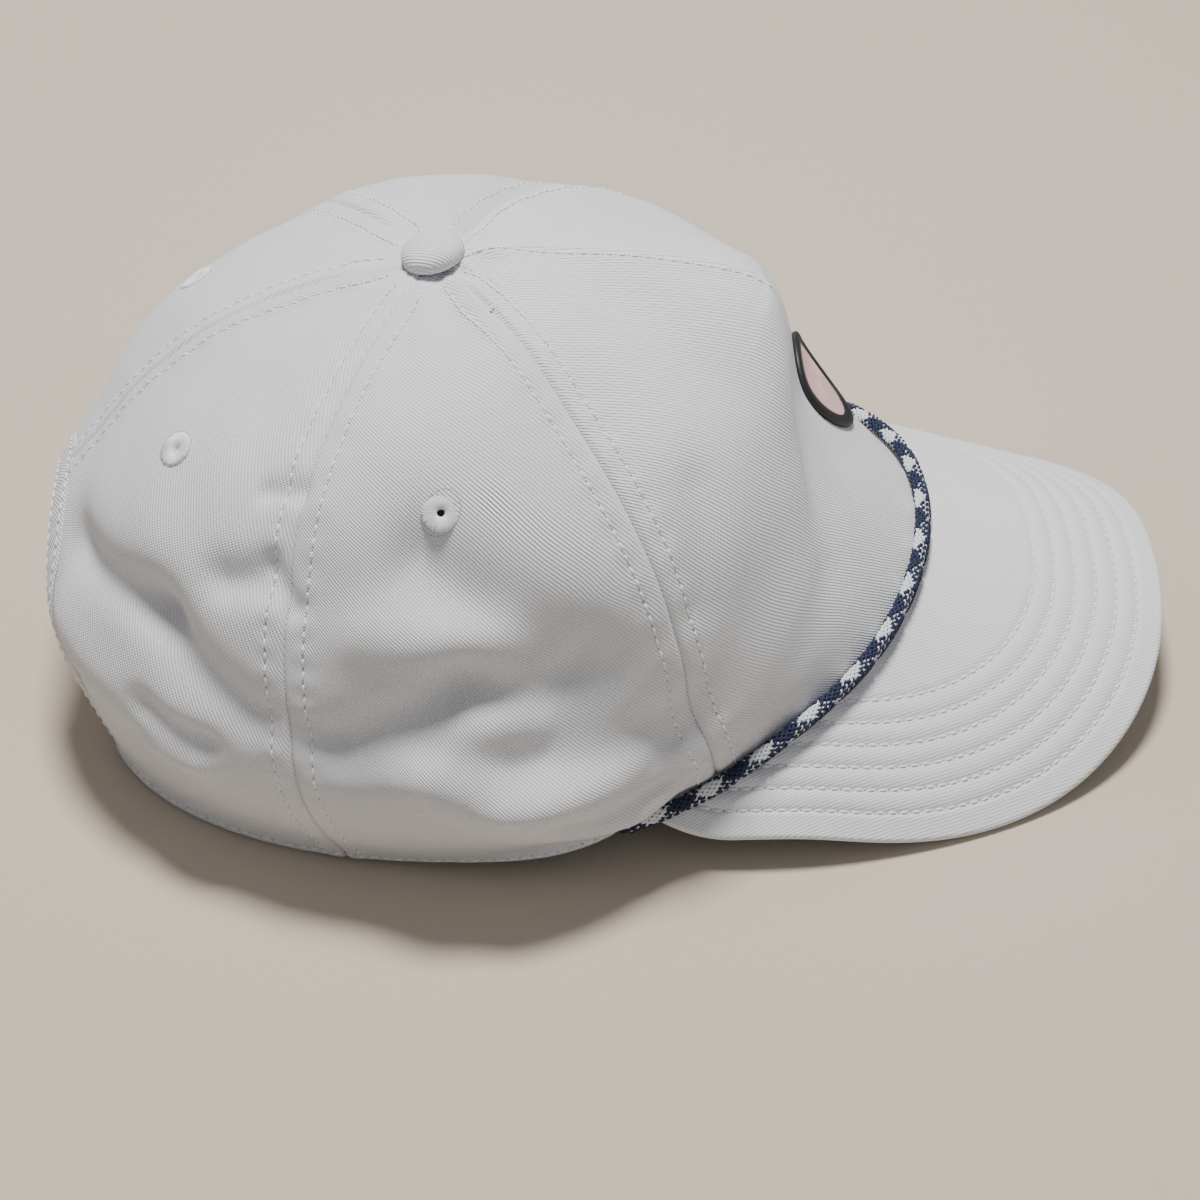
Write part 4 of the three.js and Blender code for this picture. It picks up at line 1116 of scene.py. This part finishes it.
def makeRope():
    centre, facing = ropeCentre()
    run = np.r_[0, np.cumsum(np.linalg.norm(np.diff(centre, axis=0), axis=1))]
    steps = int(run[-1] / 0.36)
    s = np.linspace(0, run[-1], steps)
    path = np.stack([np.interp(s, run, centre[:, k]) for k in range(3)], -1)
    for _ in range(30):
        path[1:-1] = (path[:-2] + 2 * path[1:-1] + path[2:]) / 4
    facing = np.stack([np.interp(s, run, facing[:, k]) for k in range(3)], -1)
    ahead, side, top = pathFrame(path, facing)
    taper = np.clip(np.minimum(s, s[-1] - s) / 2.2, 0, 1) ** 0.5
    tie = np.abs(np.mod(s, ropeLook["pitch"]) - ropeLook["pitch"] / 2)
    pinch = 1 - ropeLook["tiePinch"] * np.exp(-((tie / 0.9) ** 2))
    across = np.arange(6) * math.pi / 3
    halfWide = np.cos(across) * ropeLook["strandWidth"] / 2
    section = np.stack([halfWide, np.sin(across) * ropeLook["strandThick"]], -1)
    groups = {"navy": [], "white": []}
    count = ropeLook["strands"]
    wave = np.cos(math.pi * 2 * count * s / ropeLook["pitch"])
    for way in (1, -1):
        for k in range(count):
            centred = k - (ropeLook["white"] - 1) / 2
            turn = way * 2 * math.pi * s / ropeLook["pitch"] + 2 * math.pi * centred / count
            drop = ropeLook["whiteDrop"] if k < ropeLook["white"] else 0
            radius = ropeLook["radius"] - 0.42 - drop + way * ropeLook["weave"] * wave
            radius = radius * pinch * (0.35 + 0.65 * taper)
            out = side * np.cos(turn)[:, None] + top * np.sin(turn)[:, None]
            strand = path + out * radius[:, None]
            along = np.gradient(strand, axis=0)
            along /= np.linalg.norm(along, axis=1, keepdims=True)
            wide = np.cross(along, out)
            thin = 0.92 if k < ropeLook["white"] else 1.0
            points, quads, tris = tubeAlong(strand, wide, out, section * [thin, 1.0])
            groups["white" if k < ropeLook["white"] else "navy"].append((points, quads, tris))
    core = np.stack([np.cos(across), np.sin(across)], -1) * (ropeLook["radius"] - 0.62)
    corePoints, coreQuads, coreTris = tubeAlong(path[4:-4], side[4:-4], top[4:-4], core)
    groups["navy"].append((corePoints, coreQuads, coreTris))
    allPoints, allQuads, allTris, quadSlots, triSlots, offset = [], [], [], [], [], 0
    for index, name in enumerate(("navy", "white")):
        for points, quads, tris in groups[name]:
            allPoints.append(points)
            allQuads.append(quads + offset)
            allTris.append(tris + offset)
            ringSpot = np.minimum(s, s[-1] - s)[np.minimum(quads[:, 0] // len(section), steps - 1)]
            quadSlots.append(np.where(ringSpot < ropeLook["navyEnd"], 0, index))
            triSlots.append(np.full(len(tris), 0))
            offset += len(points)
    slots = np.concatenate(quadSlots + triSlots)
    colors = [navyThread, braidWhite]
    points, quads, tris = np.concatenate(allPoints), np.concatenate(allQuads), np.concatenate(allTris)
    piece = makePiece("rope_braid", points, quads, colors, tris=tris, slots=slots)
    finishPiece(piece, "rope_braid", "rope")
    # long stitches lie along the rope's outer lower side and dip into the brim at every pinch
    ties = []
    round8 = np.arange(8) * math.pi / 4
    dot = np.stack([np.cos(round8), np.sin(round8)], -1) * ropeLook["tieRadius"]
    for first in np.arange(-ropeLook["pitch"] / 2, s[-1] - 3, ropeLook["pitch"]):
        inside = (s > max(first + 0.2, 2.5)) & (s < min(first + ropeLook["pitch"] - 0.2, s[-1] - 2.5))
        pick = np.flatnonzero(inside)[::2]
        if len(pick) < 12:
            continue
        share = (s[pick] - first) / ropeLook["pitch"]
        bulge = 1 - (2 * share - 1) ** 8
        out = side[pick] * math.cos(ropeLook["tieTurn"]) + top[pick] * math.sin(ropeLook["tieTurn"])
        loop = path[pick] + out * (ropeLook["radius"] - 0.45 + 0.42 * bulge)[:, None]
        forward, wide, high = pathFrame(loop, out)
        ties.append(tubeAlong(loop, wide, high, dot))
    tiePoints, tieQuads, tieTris, offset = [], [], [], 0
    for points, quads, tris in ties:
        tiePoints.append(points)
        tieQuads.append(quads + offset)
        tieTris.append(tris + offset)
        offset += len(points)
    tiePiece = makePiece("rope_ties", np.concatenate(tiePoints), np.concatenate(tieQuads), navyThread,
                         tris=np.concatenate(tieTris))
    finishPiece(tiePiece, "rope_braid")


makeRope()
print("rope made")

# button
buttonLook = {
    "radius": 7.4,
    "height": 4.4,
}


def makeButton():
    # a covered dome: the profile is a flattened half round, with cloth creases at its underside
    crest = np.array([
        [0.0, -0.727], [0.2, -0.727], [0.203, -0.7], [0.203, 0.0], [0.5, -0.02], [0.8, -0.12], [0.91, -0.10],
        [0.965, -0.04], [0.99, 0.06], [1.0, 0.18], [1.0, 0.33], [0.985, 0.46], [0.94, 0.60], [0.86, 0.73],
        [0.75, 0.83], [0.6, 0.91], [0.45, 0.96], [0.3, 0.985], [0.15, 0.997], [0.0, 1.0],
    ])
    sides = 96
    turn = np.arange(sides) * 2 * math.pi / sides
    reach = crest[:, 0][:, None] * buttonLook["radius"] * np.ones(sides)[None]
    rise = crest[:, 1][:, None] * buttonLook["height"] * np.ones(sides)[None]
    low = np.exp(-(((crest[:, 1] - 0.08) / 0.22) ** 2))[:, None] * (crest[:, 0] > 0.5)[:, None]
    creases = np.sin(turn * 23 + 1.1 * np.sin(turn * 5)) * 0.10
    reach = reach + low * creases[None]
    rise = rise + 0.10 * np.sin(turn * 2 + 0.7)[None] * (crest[:, 0] > 0.5)[:, None]
    ends = np.array([0.0, 180.0])
    frontRim, backRim = crownPoint(ends, levelAtReach(ends, buttonLook["radius"]))[:, 2]
    lean = math.atan((frontRim - backRim) / (2 * buttonLook["radius"]))
    seat = (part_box("button")[1].z * 1000) - buttonLook["height"] / math.cos(lean) * 0.985
    local = np.stack([reach * np.cos(turn)[None], reach * np.sin(turn)[None], rise], -1)
    # lean forwards or back round the X axis
    y = local[..., 1] * math.cos(lean) + local[..., 2] * math.sin(lean)
    z = -local[..., 1] * math.sin(lean) + local[..., 2] * math.cos(lean)
    placed = np.stack([local[..., 0], y, z + seat], -1)
    rows = len(crest)
    inner = placed[1:-1]
    points = np.concatenate([inner.reshape(-1, 3), placed[0, :1], placed[-1, :1]])
    quads = gridQuads(rows - 2, sides, closedColumns=True)
    j = np.arange(sides)
    count = (rows - 2) * sides
    foot = np.stack([(j + 1) % sides, j, np.full(sides, count)], -1)
    base = (rows - 3) * sides
    cap = np.stack([base + j, base + (j + 1) % sides, np.full(sides, count + 1)], -1)
    steps = np.diff(crest * [buttonLook["radius"], buttonLook["height"]], axis=0)
    run = np.r_[0, np.cumsum(np.hypot(*steps.T))]
    fromTop = (run[-1] - run)[1:-1][:, None]
    uv = np.stack([fromTop * np.cos(turn)[None], fromTop * np.sin(turn)[None]], -1).reshape(-1, 2)
    uv = np.concatenate([uv, np.zeros((2, 2))])
    piece = makePiece("button_cover", points, quads, buttonTwill, uv, np.concatenate([foot, cap]))
    finishPiece(piece, "button_twill", "button")


makeButton()


def makeEyelet(name):
    # a ring of radial satin stitches: its section carried round, with a rib for each stitch
    angle, level = eyelets["places"][name]
    spotAngle, spotLevel = np.array([float(angle)]), np.array([float(level)])
    seat = wallPoint(spotAngle, spotLevel, np.zeros(1))[0]
    normal = crownNormal(spotAngle, spotLevel)[0]
    side = np.cross([0, 0, 1.0], normal)
    side /= np.linalg.norm(side)
    up = np.cross(normal, side)
    hole, radius, proud = eyelets["hole"], eyelets["radius"], eyelets["proud"]
    section = np.array([
        [hole + 0.05, -1.9], [hole, -0.6], [hole + 0.12, 0.1], [hole + 0.5, 0.62], [hole + 1.1, 0.92],
        [0.52 * radius, 1.0], [0.66 * radius, 0.98], [0.78 * radius, 0.86], [0.88 * radius, 0.6],
        [0.95 * radius, 0.25], [radius, -0.35], [radius * 0.9, -0.8], [hole + 1.1, -1.2], [hole + 0.9, -1.9],
    ])
    section[:, 1] *= proud
    sides, ribs = 288, 48
    turn = np.arange(sides) * 2 * math.pi / sides
    rib = np.abs(np.sin(turn * ribs / 2)) ** 0.7
    jag = draw.normal(0, 1, ribs).repeat(sides // ribs)
    outerShare = np.clip((section[:, 0] - 0.3 * radius) / (0.7 * radius), 0, 1)[:, None]
    onTop = (section[:, 1] > -0.2)[:, None]
    reach = section[:, 0][:, None] + outerShare * (0.10 * jag + 0.10 * rib)[None] * onTop
    rise = section[:, 1][:, None] + (0.24 * rib - 0.14)[None] * onTop * np.clip(outerShare + 0.3, 0, 1)
    flat = side * (reach * np.cos(turn)[None])[..., None] + up * (reach * np.sin(turn)[None])[..., None]
    points = seat + (flat + normal * rise[..., None])
    quads = gridQuads(len(section), sides, closedRows=True, closedColumns=True)
    piece = makePiece("eyelet_" + name + "_stitched", points.reshape(-1, 3), quads, whiteThread)
    finishPiece(piece, "eyelet_thread", "eyelet_" + name)


def makeEyeletTicks():
    # where the ring's threads go down, small shaded specks show all round it
    parts = []
    for angle, level in eyelets["places"].values():
        turn = np.linspace(0, 2 * math.pi, 49)
        perLevel = crown["profileShare"] * crown["height"]
        reach = reachAt(angle, level)
        ring = eyelets["radius"] + 0.16
        around = angle + degrees(ring * np.cos(turn) / reach)
        path, normal = crownPath(around, level + ring * np.sin(turn) / perLevel)
        parts.append(holeShadeRow(path, normal, {"pitch": 2 * math.pi * ring / 48, "hole": 0.15}))
    points, quads = joinParts(parts)
    finishPiece(makePiece("eyelet_stitch_hole_shade", points, quads, holeShade), "eyelet_thread")


for eyeletName in eyelets["places"]:
    makeEyelet(eyeletName)
makeEyeletTicks()
print("button and eyelets made")

# inside and back: sweatband and strap
bandLook = {"thickness": 1.0, "gap": 0.9, "top": 0.2, "bottom": 0.02, "clear": 6.0}
strapLook = {
    "height": 18.0,
    "thickness": 1.3,
    "lift": 1.2,
    "sewn": 5.0,            # its ends run on this far past the tape
    "studPitch": 9.5,
    "studRadius": 2.3,
    "studHeight": 1.1,
}
strapReach = arch["halfWidth"] + arch["band"] + strapLook["sewn"]
strapTurn = degrees(np.arcsin(strapReach / crown["halfLength"]))
strapHalf = float(degrees(np.arcsin(strapReach / reachAt(180 - strapTurn))))
strapDepth = crown["cloth"] + 0.4 + 0.3


def levelAtHeight(angle, height):
    low = np.zeros_like(angle)
    high = np.full_like(angle, levels[2])
    for _ in range(24):
        middle = (low + high) / 2
        below = crownPoint(angle, middle)[..., 2] < height
        low, high = np.where(below, middle, low), np.where(below, high, middle)
    return (low + high) / 2


def makeSweatband():
    # a folded strip that follows the wall inside the hem, with rounded edges and two rows of stitches
    end = 180 - strapHalf - float(degrees(bandLook["clear"] / reachAt(180 - strapHalf)))
    angle = np.linspace(-end, end, 420)[None]
    section = np.array([
        [0.0, 0.3], [0.01, 0.05], [0.04, 0.0], [0.3, 0.0], [0.6, 0.0], [0.96, 0.0], [0.99, 0.05], [1.0, 0.3],
        [1.0, 0.7], [0.99, 0.95], [0.96, 1.0], [0.9, 1.05], [0.86, 0.85], [0.8, 1.05], [0.5, 1.12], [0.2, 1.05],
        [0.14, 0.85], [0.08, 1.05], [0.02, 0.95], [0.0, 0.7],
    ])
    level = bandLook["bottom"] + (bandLook["top"] - bandLook["bottom"]) * section[:, 0][:, None] + 0 * angle
    depth = crown["cloth"] + bandLook["gap"] + section[:, 1][:, None] * bandLook["thickness"] + 0 * angle
    depth = depth + 0.12 * np.sin(angle * 1.7) * (section[:, 1][:, None] > 0.5)
    grid = wallPoint(angle + 0 * level, level, depth, 0)
    rows, columns = grid.shape[:2]
    quads = gridQuads(rows, columns, closedRows=True)
    points = withMiddles(grid)
    run = np.r_[0, np.cumsum(np.linalg.norm(np.diff(grid[14], axis=0), axis=1))]
    around = np.r_[0, np.cumsum(np.linalg.norm(np.diff(grid[:, 200], axis=0), axis=1))]
    uv = np.stack(np.broadcast_arrays(run[None], around[:, None]), -1).reshape(-1, 2)
    uv = np.concatenate([uv, np.zeros((2, 2))])
    piece = makePiece("sweatband_cloth", points, quads, bandCotton, uv, endFans(rows, columns))
    finishPiece(piece, "sweatband_cotton", "sweatband")


def plasticMaterial():
    material, tree, shader = newMaterial("strap_plastic", (0.80, 0.80, 0.79), 0.42)
    place = tree.nodes.new("ShaderNodeTexCoord")
    noise = tree.nodes.new("ShaderNodeTexNoise")
    noise.inputs["Scale"].default_value = 420
    noise.inputs["Detail"].default_value = 2
    tree.links.new(place.outputs["Object"], noise.inputs["Vector"])
    bump = tree.nodes.new("ShaderNodeBump")
    bump.inputs["Distance"].default_value = 0.00003
    tree.links.new(noise.outputs["Fac"], bump.inputs["Height"])
    tree.links.new(bump.outputs["Normal"], shader.inputs["Normal"])
    wear = mathNode(tree, "MULTIPLY", noise.outputs["Fac"], 0.16)
    tree.links.new(mathNode(tree, "ADD", wear, 0.34), shader.inputs["Roughness"])
    return material


def makeStrap():
    # a thin band with rounded edges and a low rim, carried along the hem, and a domed stud on each place
    plastic = plasticMaterial()
    angle = 180 + strapHalf * np.linspace(-1, 1, 160)[None]
    section = np.array([
        [0.0, 0.25], [0.02, 0.04], [0.06, 0.0], [0.11, 0.02], [0.13, 0.16], [0.5, 0.16], [0.87, 0.16],
        [0.89, 0.02], [0.94, 0.0], [0.98, 0.04], [1.0, 0.25], [1.0, 0.75], [0.98, 0.96], [0.94, 1.0],
        [0.5, 1.0], [0.06, 1.0], [0.02, 0.96], [0.0, 0.75],
    ])
    height = strapLook["lift"] + strapLook["height"] * section[:, 0][:, None] + 0 * angle
    turn = angle + 0 * height
    level = levelAtHeight(turn, height)
    grid = wallPoint(turn, level, strapDepth + section[:, 1][:, None] * strapLook["thickness"] + 0 * turn, 0)
    rows, columns = grid.shape[:2]
    quads = gridQuads(rows, columns, closedRows=True)
    points = withMiddles(grid)
    band = makePiece("snap_strap_band", points, quads, plastic, tris=endFans(rows, columns))
    finishPiece(band, "strap_plastic", "snap_strap")
    studs = int((arch["halfWidth"] - strapLook["studPitch"] / 2) / strapLook["studPitch"])
    dome = np.array([
        [1.0, -1.0], [1.0, 0.25], [0.96, 0.55], [0.85, 0.82], [0.7, 0.96], [0.5, 1.0], [0.28, 0.9], [0.2, 0.8],
    ])
    parts = []
    for k in range(-studs, studs + 1):
        spot = np.array([180 + float(degrees(k * strapLook["studPitch"] / reachAt(180)))])
        at = levelAtHeight(spot, strapLook["lift"] + strapLook["height"] / 2)
        seat = wallPoint(spot, at, np.full(1, strapDepth + 0.16 * strapLook["thickness"]), 0)[0]
        normal = crownNormal(spot, at)[0]
        side = np.cross([0, 0, 1.0], normal)
        side /= np.linalg.norm(side)
        up = np.cross(normal, side)
        ring = np.arange(28) * 2 * math.pi / 28
        reach = dome[:, 0][:, None] * strapLook["studRadius"]
        rise = dome[:, 1][:, None] * strapLook["studHeight"]
        shell = seat + side * (reach * np.cos(ring)[None])[..., None]
        shell = shell + up * (reach * np.sin(ring)[None])[..., None]
        shell = shell + normal * (rise + 0 * ring[None])[..., None]
        count = len(dome) * 28
        caps = np.concatenate([shell.reshape(-1, 3), shell[0].mean(0)[None], shell[-1].mean(0)[None]])
        cells = gridQuads(len(dome), 28, closedColumns=True)
        j = np.arange(0, 28, 2)
        foot = np.stack([np.full(14, count), (j + 2) % 28, j + 1, j], -1)
        base = count - 28
        lid = np.stack([np.full(14, count + 1), base + j, base + j + 1, base + (j + 2) % 28], -1)
        parts.append((caps, np.concatenate([cells, foot, lid])))
    points, quads = joinParts(parts)
    finishPiece(makePiece("snap_strap_studs", points, quads, plastic), "strap_plastic")


makeSweatband()
makeStrap()
print("sweatband and strap made")

# badge: a plain round patch with a thick dark border
badgeLook = {"angle": -12.5, "level": 0.19, "radius": 15.0, "gap": 0.25, "border": 3.4, "threads": 0.42}


def badgePlace(across, up, lift):
    step = 0.01
    a, l = np.array([badgeLook["angle"]]), np.array([badgeLook["level"]])
    speed = float(np.linalg.norm(crownPoint(a, l + step) - crownPoint(a, l - step)) / (2 * step))
    level = badgeLook["level"] + up / speed
    angle = badgeLook["angle"] + degrees(across / crownReach(a + 0 * level, level))
    return wallPoint(angle, level, -lift)


def makeBadge():
    # polar grids: the fill's threads run straight across, the border's threads run outwards
    ring = np.arange(360) * 2 * math.pi / 360
    inside = badgeLook["radius"] - badgeLook["border"]
    border = inside + np.linspace(0, 1, 14) * badgeLook["border"]
    parts = {
        "badge_fill": (np.linspace(0.02, 1, 60) * (inside + 0.6), pinkThread),
        "badge_border": (border, blackThread),
    }
    for name, (reach, material) in parts.items():
        across = reach[:, None] * np.cos(ring)[None]
        up = reach[:, None] * np.sin(ring)[None]
        if name == "badge_fill":
            thread = np.abs(np.sin(math.pi * up / badgeLook["threads"]))
            lift = badgeLook["gap"] + 0.55 + 0.09 * thread
        else:
            share = np.linspace(-1, 1, len(reach))[:, None]
            thread = np.abs(np.sin(ring * 90))[None]
            lift = badgeLook["gap"] + 0.55 + 0.75 * np.sqrt(np.maximum(1 - share**2, 0)) + 0.10 * thread
        outer = badgePlace(across, up, lift)
        inner = badgePlace(across, up, np.full_like(across, badgeLook["gap"] - 0.25))
        rows, columns = outer.shape[:2]
        if name == "badge_fill":
            middles = [outer[0].mean(0)[None], inner[0].mean(0)[None]]
            points = np.concatenate([outer.reshape(-1, 3), inner.reshape(-1, 3)] + middles)
            count = rows * columns
            cells = gridQuads(rows, columns, closedColumns=True)
            low = cells[:, ::-1] + count
            j = np.arange(columns)
            nextJ = (j + 1) % columns
            rim = count - columns
            wall = np.stack([rim + nextJ + count, rim + j + count, rim + j, rim + nextJ], -1)
            lid = np.stack([nextJ, j, np.full(columns, 2 * count)], -1)
            foot = np.stack([j + count, nextJ + count, np.full(columns, 2 * count + 1)], -1)
            quads = np.concatenate([cells, low, wall])
            piece = makePiece(name, points, quads, material, tris=np.concatenate([lid, foot]))
        else:
            loop = np.concatenate([outer, inner[::-1]])
            quads = gridQuads(2 * rows, columns, closedRows=True, closedColumns=True)
            piece = makePiece(name, loop.reshape(-1, 3), quads, material)
        finishPiece(piece, "badge_embroidery", *(["front_badge"] if name == "badge_fill" else []))


makeBadge()
print("badge made")

# floor, light and camera
studio = {
    "floor": (0.56, 0.48, 0.39),
    "world": (0.90, 0.93, 1.0),
    "worldStrength": 0.28,
    "keyPower": 28.0,
    "keyColor": (1.0, 0.985, 0.96),
    "fillPower": 1.5,
}


def makeStage():
    floorMesh = bpy.data.meshes.new("floor")
    span = 3.0
    corners = [(-span, -span, 0), (span, -span, 0), (span, span, 0), (-span, span, 0)]
    floorMesh.from_pydata(corners, [], [(0, 1, 2, 3)])
    floor = bpy.data.objects.new("floor", floorMesh)
    scene.collection.objects.link(floor)
    floorMesh.materials.append(newMaterial("floor_paint", studio["floor"], 0.85)[0])
    world = bpy.data.worlds.new("studio")
    world.use_nodes = True
    world.node_tree.nodes["Background"].inputs["Color"].default_value = (*studio["world"], 1)
    world.node_tree.nodes["Background"].inputs["Strength"].default_value = studio["worldStrength"]
    scene.world = world


def addArea(name, place, aim, size, power, color):
    light = bpy.data.lights.new(name, "AREA")
    light.shape = "DISK"
    light.size = size
    light.energy = power
    light.color = color
    holder = bpy.data.objects.new(name, light)
    holder.location = place
    holder.rotation_euler = (Vector(aim) - Vector(place)).to_track_quat("-Z", "Y").to_euler()
    scene.collection.objects.link(holder)


makeStage()
addArea("key", (0.24, 0.05, 1.35), (0, 0, 0.05), 0.36, studio["keyPower"], studio["keyColor"])
addArea("fill", (-0.9, -0.7, 0.9), (0, 0, 0.05), 1.2, studio["fillPower"], (0.9, 0.95, 1.0))

cameraLook = {
    "focal": 3032.34,       # in pixels of the 1200 pixel frame
    "distance": 714.24,
    "pitch": 40.31,
    "yaw": 1.67,
    "roll": -0.44,
    "target": (-41.43, -36.61, 45.9),
    "framePixels": 1200,
    "sensor": 36.0,
}


def makeCamera():
    pitch, yaw, roll = (math.radians(cameraLook[k]) for k in ("pitch", "yaw", "roll"))
    back = Vector((-math.cos(pitch) * math.cos(yaw), math.cos(pitch) * math.sin(yaw), math.sin(pitch)))
    right = Vector((-math.sin(yaw), -math.cos(yaw), 0))
    up = back.cross(right)
    right, up = right * math.cos(roll) + up * math.sin(roll), up * math.cos(roll) - right * math.sin(roll)
    target = Vector(cameraLook["target"]) + Vector(shift)
    place = (target + back * cameraLook["distance"]) / 1000
    lens = bpy.data.cameras.new("camera")
    lens.sensor_width = cameraLook["sensor"]
    lens.sensor_fit = "HORIZONTAL"
    lens.lens = cameraLook["sensor"] * cameraLook["focal"] / cameraLook["framePixels"]
    lens.clip_start = 0.05
    camera = bpy.data.objects.new("camera", lens)
    camera.matrix_world = Matrix.Translation(place) @ Matrix((right, up, back)).transposed().to_4x4()
    scene.collection.objects.link(camera)
    scene.camera = camera


makeCamera()
